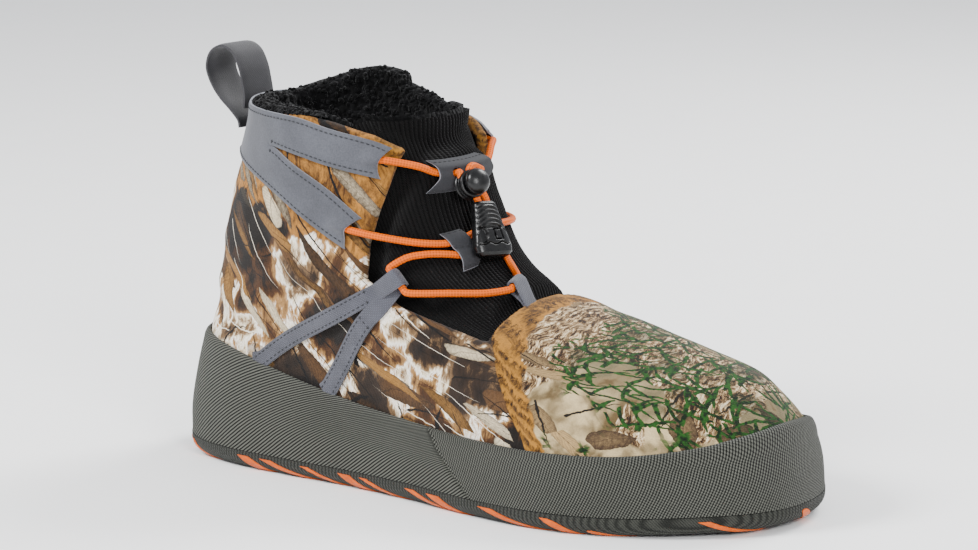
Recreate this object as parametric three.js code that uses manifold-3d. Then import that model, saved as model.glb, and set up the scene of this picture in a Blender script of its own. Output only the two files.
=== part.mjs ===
// Winter overshoe, right foot: an insulated bootie on a soft fabric-faced sole.
// Millimetres, +X to the toe, +Y to the inner (medial) side, +Z up.
// The origin lies on the floor under the middle of the sole.
import * as THREE from 'three';
import { mergeVertices } from 'three/addons/utils/BufferGeometryUtils.js';
import Module from 'manifold-3d';

// Main sizes
const clearance = 0.3;
const soleLength = 300;
const ballWidth = 128;
const collarHeight = 154;
const soleThickness = 8;
const soleRoll = 7;
const soleWelt = 2;
const toeSpring = 1.5;
const wall = 5;
const randThickness = 2.2;
const randLift = 0.6;
const insoleThickness = 4.5;
const knitThickness = 3;
const knitInset = 1.2;
const knitLift = clearance - knitInset;
const overlayThickness = 1.2;
const overlayLift = 0.7;
const strapThickness = 1.2;
const strapLift = 0.5;
const strapWidth = 7.5;
const cordRadius = 1.5;
const loopWall = cordRadius + clearance + strapThickness;
const pullThickness = 1.8;
const pullWidth = 18.5;
const pullShift = -3.5;
const tabThickness = 1.2;
const lockRadius = 5.9;
const lockHeight = 5;
const postRadius = 3;
const postHeight = 9;
const buttonRadius = 5.4;
const buttonTravel = 1.4;
const buttonDome = 3.2;

const halfLength = soleLength / 2;
const halfBall = ballWidth / 2;

// Outline of the foot and of the collar, a row every 15 degrees from heel to toe.
// along is a share of the ring's length. lateral and medial are the foot's two sides, collar
// and inner the collar's, as shares of the ring's half width. sag is the share of its dip.
const OUTLINE = [
  { along: 0.000, lateral: 0.00, medial: 0.00, collarAlong: 0.000, collar: 0.00, inner: 0.00, sag: 0.00 },
  { along: 0.017, lateral: 0.33, medial: 0.33, collarAlong: 0.018, collar: 0.26, inner: 0.26, sag: 0.00 },
  { along: 0.067, lateral: 0.59, medial: 0.59, collarAlong: 0.070, collar: 0.48, inner: 0.47, sag: 0.03 },
  { along: 0.146, lateral: 0.73, medial: 0.71, collarAlong: 0.152, collar: 0.69, inner: 0.67, sag: 0.20 },
  { along: 0.250, lateral: 0.77, medial: 0.72, collarAlong: 0.260, collar: 0.85, inner: 0.82, sag: 0.55 },
  { along: 0.371, lateral: 0.79, medial: 0.69, collarAlong: 0.380, collar: 0.96, inner: 0.92, sag: 0.88 },
  { along: 0.500, lateral: 0.87, medial: 0.73, collarAlong: 0.505, collar: 1.00, inner: 0.95, sag: 1.00 },
  { along: 0.629, lateral: 0.98, medial: 0.86, collarAlong: 0.630, collar: 0.98, inner: 0.92, sag: 1.00 },
  { along: 0.750, lateral: 1.00, medial: 0.96, collarAlong: 0.748, collar: 0.92, inner: 0.85, sag: 0.93 },
  { along: 0.854, lateral: 0.86, medial: 0.91, collarAlong: 0.852, collar: 0.81, inner: 0.74, sag: 0.78 },
  { along: 0.933, lateral: 0.61, medial: 0.70, collarAlong: 0.932, collar: 0.62, inner: 0.56, sag: 0.50 },
  { along: 0.983, lateral: 0.33, medial: 0.39, collarAlong: 0.982, collar: 0.34, inner: 0.31, sag: 0.17 },
  { along: 1.000, lateral: 0.00, medial: 0.00, collarAlong: 1.000, collar: 0.00, inner: 0.00, sag: 0.00 },
];

// Rings of the upper from the sole edge to the collar. back and front are shares of the half
// length, backUp, frontUp and dip of the collar height, half of the half ball width, and
// round goes from the foot's outline (0) to the collar's (1).
const RINGS = [
  { back: -0.980, backUp: 0.052, front: 0.996, frontUp: 0.052, dip: 0.000, half: 0.965, round: 0.00 },
  { back: -0.978, backUp: 0.132, front: 0.990, frontUp: 0.127, dip: -0.012, half: 0.965, round: 0.00 },
  { back: -0.955, backUp: 0.235, front: 0.976, frontUp: 0.191, dip: -0.049, half: 0.945, round: 0.00 },
  { back: -0.926, backUp: 0.345, front: 0.955, frontUp: 0.259, dip: -0.092, half: 0.910, round: 0.05 },
  { back: -0.913, backUp: 0.427, front: 0.842, frontUp: 0.363, dip: -0.106, half: 0.865, round: 0.28 },
  { back: -0.908, backUp: 0.520, front: 0.700, frontUp: 0.414, dip: -0.106, half: 0.815, round: 0.58 },
  { back: -0.893, backUp: 0.613, front: 0.520, frontUp: 0.456, dip: -0.090, half: 0.770, round: 0.85 },
  { back: -0.874, backUp: 0.694, front: 0.350, frontUp: 0.489, dip: -0.076, half: 0.730, round: 1.00 },
  { back: -0.850, backUp: 0.770, front: 0.190, frontUp: 0.523, dip: -0.045, half: 0.695, round: 1.00 },
  { back: -0.824, backUp: 0.832, front: 0.063, frontUp: 0.594, dip: -0.012, half: 0.670, round: 1.00 },
  { back: -0.799, backUp: 0.886, front: -0.015, frontUp: 0.724, dip: 0.000, half: 0.660, round: 1.00 },
  { back: -0.776, backUp: 0.943, front: -0.055, frontUp: 0.855, dip: 0.005, half: 0.658, round: 1.00 },
  { back: -0.763, backUp: 0.990, front: -0.113, frontUp: 0.976, dip: 0.000, half: 0.655, round: 1.00 },
];
const RAND_TOP = 3;
const COLLAR = RINGS.length - 1;

// Side view of the opening: collar edge drooping to the front, throat edge down to the instep,
// and the rear edge of the vamp. along is a share of the half length, up of the collar height.
const THROAT = [
  { along: -0.470, up: 1.100 },
  { along: -0.440, up: 0.985 },
  { along: -0.320, up: 0.966 },
  { along: -0.200, up: 0.938 },
  { along: -0.128, up: 0.903 },
  { along: -0.150, up: 0.824 },
  { along: -0.180, up: 0.740 },
  { along: -0.203, up: 0.655 },
  { along: -0.200, up: 0.564 },
  { along: -0.080, up: 0.504 },
  { along: 0.043, up: 0.474 },
  { along: 0.196, up: 0.438 },
  { along: 0.204, up: 0.559 },
  { along: 0.280, up: 1.200 },
];

// The tongue's reach round and up the upper, in turns and rings
const KNIT_RISE = { from: 3.5, to: 10 };
const TONGUE = { lateral: 0.262, medial: 0.738, bottom: 5.6, bottomMiddle: 7.3, top: 11.25 };

// Seam between the heel and toe rand, in turns at the sole and at the rand's top
const RAND_SEAM = { foot: 0.290, top: 0.258, bow: 0.012 };
const RAND_TAPER = 0.35;

// Edges of the collar overlay from the heel (place 0) to its arm ends (place 1), in the side view
const OVERLAY_HEEL = { bottom: 9.0, middle: 10.6 };
const ARM_HOLLOW = 0.035;
const OVERLAY_BOTTOM = [
  { place: 0.20, along: -0.722, up: 0.822 },
  { place: 0.44, along: -0.546, up: 0.769 },
  { place: 0.70, along: -0.410, up: 0.704 },
  { place: 1.00, along: -0.267, up: 0.635 },
];
const OVERLAY_APEX = [
  { place: 0.20, along: -0.700, up: 0.895 },
  { place: 0.40, along: -0.551, up: 0.890 },
];
const OVERLAY_LOWER_TOP = [
  { place: 0.58, along: -0.449, up: 0.847 },
  { place: 0.76, along: -0.343, up: 0.797 },
  { place: 1.00, along: -0.222, up: 0.719 },
];
const OVERLAY_UPPER_BOTTOM = [
  { place: 0.66, along: -0.419, up: 0.871 },
  { place: 0.78, along: -0.343, up: 0.855 },
  { place: 1.00, along: -0.176, up: 0.824 },
];
const OVERLAY_TOP = [
  { place: 0.20, along: -0.690, up: 0.984 },
  { place: 0.46, along: -0.457, up: 0.977 },
  { place: 0.68, along: -0.324, up: 0.950 },
  { place: 0.88, along: -0.202, up: 0.923 },
  { place: 1.00, along: -0.157, up: 0.903 },
];

// Straps on the lateral side as lines of the side view, from the rand up to the loop
const STRAP_REAR = [
  { along: -0.600, up: 0.283 },
  { along: -0.455, up: 0.378 },
  { along: -0.241, up: 0.482 },
  { along: -0.096, up: 0.562 },
];
const STRAP_FRONT = [
  { along: -0.330, up: 0.236 },
  { along: -0.262, up: 0.330 },
  { along: -0.180, up: 0.442 },
  { along: -0.086, up: 0.545 },
];

// Cord places inside the two webbing loops, and the medial loop's web from vamp edge to fold
const LOOP_LATERAL = [
  { turn: 0.3320, ring: 7.98, out: 2.6 },
  { turn: 0.3318, ring: 8.42, out: 2.6 },
];
const LOOP_MEDIAL = [
  { turn: 0.4625, ring: 8.20, out: 2.2 },
  { turn: 0.4825, ring: 8.37, out: 2.2 },
];
const LOOP_MEDIAL_WEB = [
  { left: 0.4555, leftRing: 7.86, right: 0.4745, rightRing: 7.93 },
  { left: 0.4620, leftRing: 8.20, right: 0.4830, rightRing: 8.37 },
];

// Side view of the pull loop's middle line, from outside the heel to inside the collar
const PULL_LOOP = [
  { x: -122.8, z: 138.0 },
  { x: -123.6, z: 141.3 },
  { x: -127.9, z: 145.6 },
  { x: -133.6, z: 150.4 },
  { x: -138.2, z: 156.2 },
  { x: -140.7, z: 163.0 },
  { x: -138.2, z: 169.5 },
  { x: -132.0, z: 172.4 },
  { x: -126.0, z: 170.0 },
  { x: -122.4, z: 164.0 },
  { x: -120.7, z: 157.5 },
  { x: -119.7, z: 151.5 },
  { x: -120.2, z: 146.5 },
];

// Tabs on the tongue from bottom to top: ends in turns and rings, and rise over the knit
const TAB_UPPER = [
  { left: 0.4205, leftRing: 10.38, right: 0.5110, rightRing: 10.50, rise: 0.0 },
  { left: 0.4300, leftRing: 10.52, right: 0.5230, rightRing: 10.62, rise: 2.2 },
  { left: 0.4385, leftRing: 10.67, right: 0.5285, rightRing: 10.74, rise: 3.6 },
  { left: 0.4400, leftRing: 10.80, right: 0.5285, rightRing: 10.86, rise: 3.6 },
  { left: 0.4375, leftRing: 10.92, right: 0.5240, rightRing: 10.98, rise: 3.2 },
  { left: 0.4310, leftRing: 11.07, right: 0.5125, rightRing: 11.14, rise: 0.0 },
];
const TAB_LOWER = [
  { left: 0.4315, leftRing: 8.87, right: 0.4560, rightRing: 9.00, rise: 0.0 },
  { left: 0.4335, leftRing: 9.04, right: 0.4600, rightRing: 9.11, rise: 2.6 },
  { left: 0.4325, leftRing: 9.20, right: 0.4605, rightRing: 9.23, rise: 3.6 },
  { left: 0.4295, leftRing: 9.30, right: 0.4580, rightRing: 9.36, rise: 3.3 },
  { left: 0.4270, leftRing: 9.42, right: 0.4555, rightRing: 9.51, rise: 3.6 },
  { left: 0.4250, leftRing: 9.51, right: 0.4540, rightRing: 9.61, rise: 2.6 },
  { left: 0.4235, leftRing: 9.61, right: 0.4530, rightRing: 9.71, rise: 0.0 },
];
const TAB_HOLES = [
  { turn: 0.4635, ring: 10.77 },
  { turn: 0.4957, ring: 10.80 },
];

// Middle lines of the lace stretches, in turns, rings and height over the upper
const LACE_TOP_LATERAL = [
  { turn: 0.3745, ring: 11.00, out: 2.1 },
  { turn: 0.4141, ring: 10.93, out: 1.3 },
  { turn: 0.4368, ring: 10.82, out: 0.7 },
  { turn: 0.4500, ring: 10.79, out: 0.6 },
];
const LACE_TOP_MEDIAL = [
  { turn: 0.6240, ring: 11.00, out: 2.1 },
  { turn: 0.5900, ring: 11.14, out: 1.6 },
  { turn: 0.5620, ring: 11.12, out: 1.2 },
  { turn: 0.5440, ring: 10.98, out: 0.8 },
  { turn: 0.5290, ring: 10.86, out: 0.6 },
  { turn: 0.5110, ring: 10.81, out: 0.6 },
];
const LACE_MIDDLE = [
  { turn: 0.3030, ring: 9.21, out: 2.1 },
  { turn: 0.3356, ring: 9.28, out: 2.1 },
  { turn: 0.3848, ring: 9.36, out: 1.2 },
  { turn: 0.4235, ring: 9.42, out: 0.6 },
  { turn: 0.4500, ring: 9.51, out: 0.6 },
  { turn: 0.4700, ring: 9.61, out: 0.6 },
  { turn: 0.5000, ring: 9.70, out: 0.6 },
  { turn: 0.5500, ring: 9.64, out: 0.8 },
  { turn: 0.6100, ring: 9.45, out: 1.4 },
  { turn: 0.6550, ring: 9.30, out: 2.1 },
  { turn: 0.6960, ring: 9.21, out: 2.1 },
];
const LACE_LOWER = [
  { turn: 0.3350, ring: 8.56, out: 2.4 },
  { turn: 0.3641, ring: 8.96, out: 1.4 },
  { turn: 0.3929, ring: 9.15, out: 0.8 },
  { turn: 0.4184, ring: 9.21, out: 0.6 },
  { turn: 0.4458, ring: 9.20, out: 0.6 },
  { turn: 0.4720, ring: 9.22, out: 0.6 },
  { turn: 0.4900, ring: 9.24, out: 0.6 },
  { turn: 0.5010, ring: 9.14, out: 0.7 },
  { turn: 0.4995, ring: 8.90, out: 0.9 },
  { turn: 0.4921, ring: 8.63, out: 1.4 },
  { turn: 0.4855, ring: 8.47, out: 2.0 },
];
const LACE_BAR = [
  { turn: 0.3335, ring: 7.86, out: 2.5 },
  { turn: 0.3538, ring: 8.00, out: 1.5 },
  { turn: 0.3858, ring: 8.17, out: 0.8 },
  { turn: 0.4228, ring: 8.22, out: 0.6 },
  { turn: 0.4409, ring: 8.20, out: 1.0 },
  { turn: 0.4585, ring: 8.17, out: 1.9 },
];

// Cord lock. Offsets (dx, dy, dz) in the rows after it are from its base.
const LOCK_BASE = { x: -1.2, y: -11.5, z: 123.1 };
const LOCK_AXIS = { x: 0.877, y: -0.319, z: 0.359 };

const TAIL_STEPS = 20;
// Both cord ends: up through the tab's holes, through the lock, and into the grip
const TAIL_LATERAL = [
  { turn: 0.4550, ring: 10.78, out: 0.6 },
  { turn: 0.4618, ring: 10.77, out: 1.4 },
  { turn: 0.4640, ring: 10.77, out: 3.3 },
  { turn: 0.4645, ring: 10.76, out: 5.0 },
  { dx: 0.34, dy: -3.9, dz: 2.7 },
  { dx: 3.6, dy: -1.1, dz: -2.8 },
  { dx: 4.9, dy: 0.5, dz: -6.2 },
  { dx: 10.1, dy: -1.6, dz: -18.8 },
];
const TAIL_MEDIAL = [
  { turn: 0.5055, ring: 10.80, out: 0.6 },
  { turn: 0.4980, ring: 10.79, out: 1.4 },
  { turn: 0.4957, ring: 10.80, out: 3.3 },
  { turn: 0.4945, ring: 10.78, out: 5.4 },
  { dx: -0.2, dy: 4.3, dz: 7.7 },
  { dx: 0.4, dy: 1.1, dz: 7.3 },
  { dx: 1.2, dy: 0, dz: 4.9 },
  { dx: 4.04, dy: 2.3, dz: -0.9 },
  { dx: 6, dy: 4.4, dz: -6.3 },
  { dx: 11.2, dy: 2.3, dz: -18.9 },
];

// Cord grip
const GRIP = {
  top: { dx: 5.4, dy: 2.5, dz: -6.8 },
  foot: { dx: 14.7, dy: -1.7, dz: -27.9 },
  face: { x: 0.90, y: -0.25, z: 0.30 },
};
const GRIP_ROWS = [
  { at: 0.00, width: 9.2, depth: 4.6 },
  { at: 0.04, width: 10.4, depth: 6.0 },
  { at: 0.30, width: 12.6, depth: 6.6 },
  { at: 0.55, width: 15.2, depth: 6.8 },
  { at: 0.80, width: 17.6, depth: 6.8 },
  { at: 0.92, width: 16.8, depth: 6.4 },
  { at: 0.98, width: 13.8, depth: 5.0 },
  { at: 1.00, width: 9.8, depth: 3.2 },
];

// Smooth curve through equally spaced rows
function cubic(a, b, c, d, t) {
  return b + 0.5 * t * (c - a + t * (2 * a - 5 * b + 4 * c - d + t * (3 * (b - c) + d - a)));
}

function through(rows, key, place) {
  const at = Math.min(Math.max(Math.floor(place), 0), rows.length - 2);
  const row = (k) => rows[Math.min(Math.max(k, 0), rows.length - 1)][key];
  const first = at === 0 ? 2 * row(0) - row(1) : row(at - 1);
  const last = at === rows.length - 2 ? 2 * row(at + 1) - row(at) : row(at + 2);
  return cubic(first, row(at), row(at + 1), last, place - at);
}

const LAP = buildLap();

// The outline table as one closed lap: heel, lateral side, toe, medial side
function buildLap() {
  const steps = OUTLINE.length - 1;
  const lap = [];
  for (let k = 0; k < 2 * steps; k += 1) {
    const lateral = k <= steps;
    const row = OUTLINE[lateral ? k : 2 * steps - k];
    const side = lateral ? -1 : 1;
    lap.push({
      along: row.along,
      across: side * (lateral ? row.lateral : row.medial),
      collarAlong: row.collarAlong,
      collar: side * (lateral ? row.collar : row.inner),
      sag: row.sag,
    });
  }
  return lap;
}

function round(key, turn) {
  const count = LAP.length;
  const place = (((turn % 1) + 1) % 1) * count;
  const at = Math.floor(place);
  const row = (k) => LAP[(k + count) % count][key];
  return cubic(row(at - 1), row(at), row(at + 1), row(at + 2), place - at);
}

const mix = (a, b, t) => a * (1 - t) + b * t;

function ease(low, high, value) {
  const t = Math.min(Math.max((value - low) / (high - low), 0), 1);
  return t * t * (3 - 2 * t);
}

function springAt(x) {
  return toeSpring * ease(0.55 * halfLength, halfLength, x);
}

// Outer face of the upper: turn 0 is the heel, 0.25 the lateral side, 0.5 the toe
function form(turn, ring) {
  const value = (key) => through(RINGS, key, ring);
  const blend = Math.min(Math.max(value('round'), 0), 1);
  const along = mix(round('along', turn), round('collarAlong', turn), blend);
  const across = mix(round('across', turn), round('collar', turn), blend);
  const x = halfLength * mix(value('back'), value('front'), along);
  const lift = springAt(x) * (1 - ease(0, RAND_TOP + 1, ring));
  const z = collarHeight * (mix(value('backUp'), value('frontUp'), along) + value('dip') * round('sag', turn));
  return new THREE.Vector3(x, halfBall * value('half') * across, z + lift);
}

function normal(turn, ring) {
  const step = 0.004;
  const span = 0.04;
  const low = Math.max(ring - span, 0);
  const high = Math.min(ring + span, COLLAR + 1);
  const around = form(turn + step, ring).sub(form(turn - step, ring));
  const upward = form(turn, high).sub(form(turn, low));
  return around.cross(upward).normalize();
}

function skin(turn, ring, out) {
  return form(turn, ring).addScaledVector(normal(turn, ring), out);
}

// Turn and ring of the point of the upper that the side view shows at x, z
function spot(side, x, z) {
  let best = { miss: Infinity, turn: 0.25, ring: 5 };
  const miss = (turn, ring) => {
    const point = form(side < 0 ? turn : 1 - turn, ring);
    return Math.hypot(point.x - x, point.z - z);
  };
  for (let i = 0; i <= 40; i += 1) {
    for (let j = 0; j <= 48; j += 1) {
      const turn = i / 80;
      const ring = (j / 48) * COLLAR;
      if (miss(turn, ring) < best.miss) best = { miss: miss(turn, ring), turn, ring };
    }
  }
  for (let reach = 0.5; reach > 0.002; reach *= 0.6) {
    const { turn, ring } = best;
    for (const [du, dr] of [[1, 0], [-1, 0], [0, 1], [0, -1], [1, 1], [-1, -1], [1, -1], [-1, 1]]) {
      const u = Math.min(Math.max(turn + (du * reach) / 24, 0), 0.5);
      const r = Math.min(Math.max(ring + dr * reach * 0.5, 0), COLLAR + 0.6);
      if (miss(u, r) < best.miss) best = { miss: miss(u, r), turn: u, ring: r };
    }
  }
  return [side < 0 ? best.turn : 1 - best.turn, best.ring];
}

// Solids from grids of points
function solid(points, faces) {
  const geometry = new THREE.BufferGeometry();
  const flat = new Float32Array(points.flatMap((p) => [p.x, p.y, p.z]));
  let volume = 0;
  for (const [a, b, c] of faces) {
    volume += points[a].dot(new THREE.Vector3().crossVectors(points[b], points[c]));
  }
  const index = volume < 0 ? faces.flatMap(([a, b, c]) => [a, c, b]) : faces.flat();
  geometry.setAttribute('position', new THREE.BufferAttribute(flat, 3));
  geometry.setIndex(index);
  return mergeVertices(geometry, 1e-4);
}

// A closed solid between two sheets given as rows of points, looped or not along each row
function between(top, bottom, looped) {
  const rows = top.length;
  const cols = top[0].length;
  const points = [...top.flat(), ...bottom.flat()];
  const id = (sheet, i, j) => sheet * rows * cols + i * cols + (j % cols);
  const faces = [];
  const quad = (a, b, c, d) => faces.push([a, b, c], [a, c, d]);
  const across = looped ? cols : cols - 1;
  for (let i = 0; i < rows - 1; i += 1) {
    for (let j = 0; j < across; j += 1) {
      quad(id(0, i, j), id(0, i, j + 1), id(0, i + 1, j + 1), id(0, i + 1, j));
      quad(id(1, i, j), id(1, i + 1, j), id(1, i + 1, j + 1), id(1, i, j + 1));
    }
  }
  for (let j = 0; j < across; j += 1) {
    quad(id(0, 0, j + 1), id(0, 0, j), id(1, 0, j), id(1, 0, j + 1));
    quad(id(0, rows - 1, j), id(0, rows - 1, j + 1), id(1, rows - 1, j + 1), id(1, rows - 1, j));
  }
  if (!looped) {
    for (let i = 0; i < rows - 1; i += 1) {
      quad(id(0, i, 0), id(0, i + 1, 0), id(1, i + 1, 0), id(1, i, 0));
      quad(id(0, i + 1, cols - 1), id(0, i, cols - 1), id(1, i, cols - 1), id(1, i + 1, cols - 1));
    }
  }
  return solid(points, faces);
}

// A closed solid from looped rows, its first and last row zipped shut across the foot
function stack(rows) {
  const cols = rows[0].length;
  const points = rows.flat();
  const faces = [];
  for (let i = 0; i < rows.length - 1; i += 1) {
    for (let j = 0; j < cols; j += 1) {
      const next = (j + 1) % cols;
      faces.push([i * cols + j, i * cols + next, (i + 1) * cols + next]);
      faces.push([i * cols + j, (i + 1) * cols + next, (i + 1) * cols + j]);
    }
  }
  const zip = (row, flip) => {
    const base = row * cols;
    for (let j = 0; j < cols / 2; j += 1) {
      const [a, b] = [base + j, base + j + 1];
      const [c, d] = [base + ((cols - j - 1) % cols), base + ((cols - j) % cols)];
      for (const face of [[a, b, c], [a, c, d]]) {
        if (new Set(face).size === 3) faces.push(flip ? face.reverse() : face);
      }
    }
  };
  zip(0, true);
  zip(rows.length - 1, false);
  return solid(points, faces);
}

const wasm = await Module();
wasm.setup();

function toManifold(geometry) {
  const position = geometry.getAttribute('position');
  return new wasm.Manifold(new wasm.Mesh({
    numProp: 3,
    vertProperties: new Float32Array(position.array),
    triVerts: new Uint32Array(geometry.getIndex().array),
  }));
}

function fromManifold(body) {
  const data = body.getMesh();
  const geometry = new THREE.BufferGeometry();
  geometry.setAttribute('position', new THREE.BufferAttribute(new Float32Array(data.vertProperties), 3));
  geometry.setIndex(new THREE.BufferAttribute(new Uint32Array(data.triVerts), 1));
  return mergeVertices(geometry, 1e-4);
}

function plain(geometry) {
  geometry.deleteAttribute('normal');
  geometry.deleteAttribute('uv');
  return mergeVertices(geometry, 1e-4);
}

function cut(geometry, tool) {
  return fromManifold(toManifold(geometry).subtract(toManifold(tool)));
}

const object = new THREE.Group();

function add(name, geometry, color, roughness, metalness = 0) {
  const material = new THREE.MeshStandardMaterial({ color, roughness, metalness });
  const mesh = new THREE.Mesh(geometry, material);
  mesh.name = name;
  object.add(mesh);
  return mesh;
}

// Outsole: a foam slab in woven fabric, its edge rolled up to the rand
const AROUND = 54;

function lapPoints(ring, out, height) {
  const points = [];
  for (let j = 0; j < AROUND; j += 1) {
    const point = skin(j / AROUND, ring, out);
    point.z = height(point);
    points.push(point);
  }
  return points;
}

function outsole() {
  const edge = randLift + randThickness;
  const steps = 4;
  const rows = [];
  for (let k = 0; k <= steps; k += 1) {
    const angle = (k / steps) * (Math.PI / 2);
    const inset = soleRoll * (1 - Math.sin(angle));
    const rise = (soleThickness - soleWelt) * (1 - Math.cos(angle));
    rows.push(lapPoints(0, edge - inset, (p) => rise + springAt(p.x)));
  }
  rows.push(lapPoints(0, edge, (p) => soleThickness - clearance + springAt(p.x)));
  return stack(rows);
}
add('outsole', outsole(), 0x4d4e4a, 0.9);

// Insole: fleece footbed inside the wall
function insole() {
  const out = -wall - 2 * clearance;
  const floor = soleThickness + clearance;
  const rows = [
    lapPoints(0.05, out, (p) => floor + springAt(p.x)),
    lapPoints(0.3, out, (p) => floor + insoleThickness - 1 + springAt(p.x)),
    lapPoints(0.3, out - 1.5, (p) => floor + insoleThickness + springAt(p.x)),
  ];
  return stack(rows);
}
add('insole', insole(), 0x1b1b1c, 1);

// Upper: one hollow quilted shell, open underneath, at the collar and at the throat
function shell(rings, outer, inner) {
  const place = (ring, out) => (j) => {
    const point = skin(j / AROUND, ring, out);
    if (ring === 0) point.z = soleThickness + springAt(point.x);
    return point;
  };
  const columns = [...Array(AROUND).keys()];
  const sheet = (out) => [...Array(rings + 1).keys()].map((i) => columns.map(place((i / rings) * COLLAR, out)));
  return between(sheet(outer), sheet(inner), true);
}

const throat = THROAT.map((row) => new THREE.Vector2(row.along * halfLength, row.up * collarHeight));

function throatCutter() {
  const tool = new THREE.ExtrudeGeometry(new THREE.Shape(throat), { depth: 2 * ballWidth, bevelEnabled: false });
  tool.rotateX(Math.PI / 2);
  tool.translate(0, ballWidth, 0);
  return plain(tool);
}

add('upper', cut(shell(15, 0, -wall), throatCutter()), 0x9a7a52, 0.95);

// Depth of a point inside the throat, in the side view
function throatDepth(point) {
  let nearest = Infinity;
  let inside = false;
  for (let k = 0, last = throat.length - 1; k < throat.length; last = k, k += 1) {
    const [a, b] = [throat[last], throat[k]];
    const edge = b.clone().sub(a);
    const from = new THREE.Vector2(point.x, point.z).sub(a);
    const share = Math.min(Math.max(from.dot(edge) / edge.lengthSq(), 0), 1);
    if (k > 1) nearest = Math.min(nearest, from.distanceTo(edge.multiplyScalar(share)));
    if (a.y > point.z !== b.y > point.z && point.x < a.x + ((b.x - a.x) * (point.z - a.y)) / (b.y - a.y)) {
      inside = !inside;
    }
  }
  return inside ? nearest : -nearest;
}

// Tongue: a rib-knit gusset behind the wall, swelling out through the throat
function knitOut(turn, ring) {
  const depth = throatDepth(skin(turn, ring, -knitInset));
  return mix(-wall - 4 * clearance, -knitInset, ease(KNIT_RISE.from, KNIT_RISE.to, depth));
}

function tongue() {
  const rows = 14;
  const cols = 22;
  const sheet = (thickness) => {
    const points = [];
    for (let i = 0; i <= rows; i += 1) {
      points.push([]);
      for (let j = 0; j <= cols; j += 1) {
        const turn = mix(TONGUE.lateral, TONGUE.medial, j / cols);
        const middle = 1 - Math.min(Math.abs(turn - 0.5) / (0.5 - TONGUE.lateral), 1) ** 2;
        const bottom = mix(TONGUE.bottom, TONGUE.bottomMiddle, middle);
        const top = mix(TONGUE.top, COLLAR, ease(0.1, 0.7, middle));
        const ring = mix(bottom, top, i / rows);
        points[i].push(skin(turn, ring, knitOut(turn, ring) - thickness));
      }
    }
    return points;
  };
  return between(sheet(0), sheet(knitThickness), false);
}
add('tongue', tongue(), 0x141414, 0.95);

// A curve on the upper through knots of place, turn and ring
function edge(knots) {
  const slope = (k, key) => {
    const [a, b] = [knots[Math.max(k - 1, 0)], knots[Math.min(k + 1, knots.length - 1)]];
    return (b[key] - a[key]) / (b.place - a.place);
  };
  return (place) => {
    let k = 0;
    while (k < knots.length - 2 && place > knots[k + 1].place) k += 1;
    const span = knots[k + 1].place - knots[k].place;
    const t = (place - knots[k].place) / span;
    const hermite = (key) => {
      const [a, b] = [knots[k][key], knots[k + 1][key]];
      const [p, q] = [slope(k, key) * span, slope(k + 1, key) * span];
      return a + t * (p + t * (3 * (b - a) - 2 * p - q + t * (p + q - 2 * (b - a))));
    };
    return { turn: hermite('turn'), ring: hermite('ring') };
  };
}

// A knot at a place of the side view, on the lateral (-1) or medial (1) side
function knot(side, place, along, up) {
  const [turn, ring] = spot(side, along * halfLength, up * collarHeight);
  return { place: side * -place, turn: side < 0 ? turn : turn - 1, ring };
}

// Both halves of an edge that runs round the heel, from the medial end to the lateral end
function wrap(heelRing, rows) {
  const half = (side) => rows.map((row) => knot(side, row.place, row.along, row.up));
  return edge([...half(1).reverse(), { place: 0, turn: 0, ring: heelRing }, ...half(-1)]);
}

// A closed solid over cells of the upper's surface, between two heights over it. A cell is four
// spots of turn and ring, and cells that share a spot share its points.
function plate(cells, low, high) {
  const points = [];
  const faces = [];
  const ids = new Map();
  const edges = new Set();
  const place = (at) => {
    const key = `${at.turn.toFixed(6)} ${at.ring.toFixed(5)}`;
    if (!ids.has(key)) {
      ids.set(key, points.length);
      points.push(skin(at.turn, at.ring, high(at)), skin(at.turn, at.ring, low(at)));
    }
    return ids.get(key);
  };
  for (const cell of cells) {
    const [a, b, c, d] = cell.map(place);
    faces.push([a, b, c], [a, c, d], [a + 1, c + 1, b + 1], [a + 1, d + 1, c + 1]);
    for (const pair of [[a, b], [b, c], [c, d], [d, a]]) edges.add(pair.join());
  }
  for (const pair of edges) {
    const [a, b] = pair.split(',').map(Number);
    if (!edges.has(`${b},${a}`)) faces.push([b, a, a + 1], [b, a + 1, b + 1]);
  }
  return solid(points, faces);
}

// Cells of a field of spots, given by its steps along and across
function cellsOf(steps, across, at) {
  const cells = [];
  for (let i = 0; i < steps; i += 1) {
    for (let k = 0; k < across; k += 1) {
      cells.push([at(i, k), at(i + 1, k), at(i + 1, k + 1), at(i, k + 1)]);
    }
  }
  return cells;
}

// Rand: a fabric band round the heel and one round the forefoot, meeting in slanted seams
function rand(from, to, steps) {
  const rows = 5;
  const sheet = (out) => {
    const points = [];
    for (let i = 0; i <= rows; i += 1) {
      points.push([]);
      const share = i / rows;
      const ring = share * RAND_TOP;
      for (let j = 0; j <= steps; j += 1) {
        const turn = mix(from(share), to(share), j / steps);
        const point = skin(turn, ring, randLift + out * (1 - RAND_TAPER * ease(0.8, 1, share)));
        if (i === 0) point.z = soleThickness + springAt(point.x);
        points[i].push(point);
      }
    }
    return points;
  };
  return between(sheet(randThickness), sheet(0), false);
}

const seamGap = clearance / (2 * soleLength);
const seam = (share) => mix(RAND_SEAM.foot, RAND_SEAM.top, share) - RAND_SEAM.bow * share * (1 - share);
const heelEnd = (share) => seam(share) - seamGap;
const toeEnd = (share) => seam(share) + seamGap;
add('rand_heel', rand((share) => -heelEnd(share), heelEnd, 28), 0x4d4e4a, 0.9);
add('rand_toe', rand(toeEnd, (share) => 1 - toeEnd(share), 26), 0x4d4e4a, 0.9);

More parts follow.
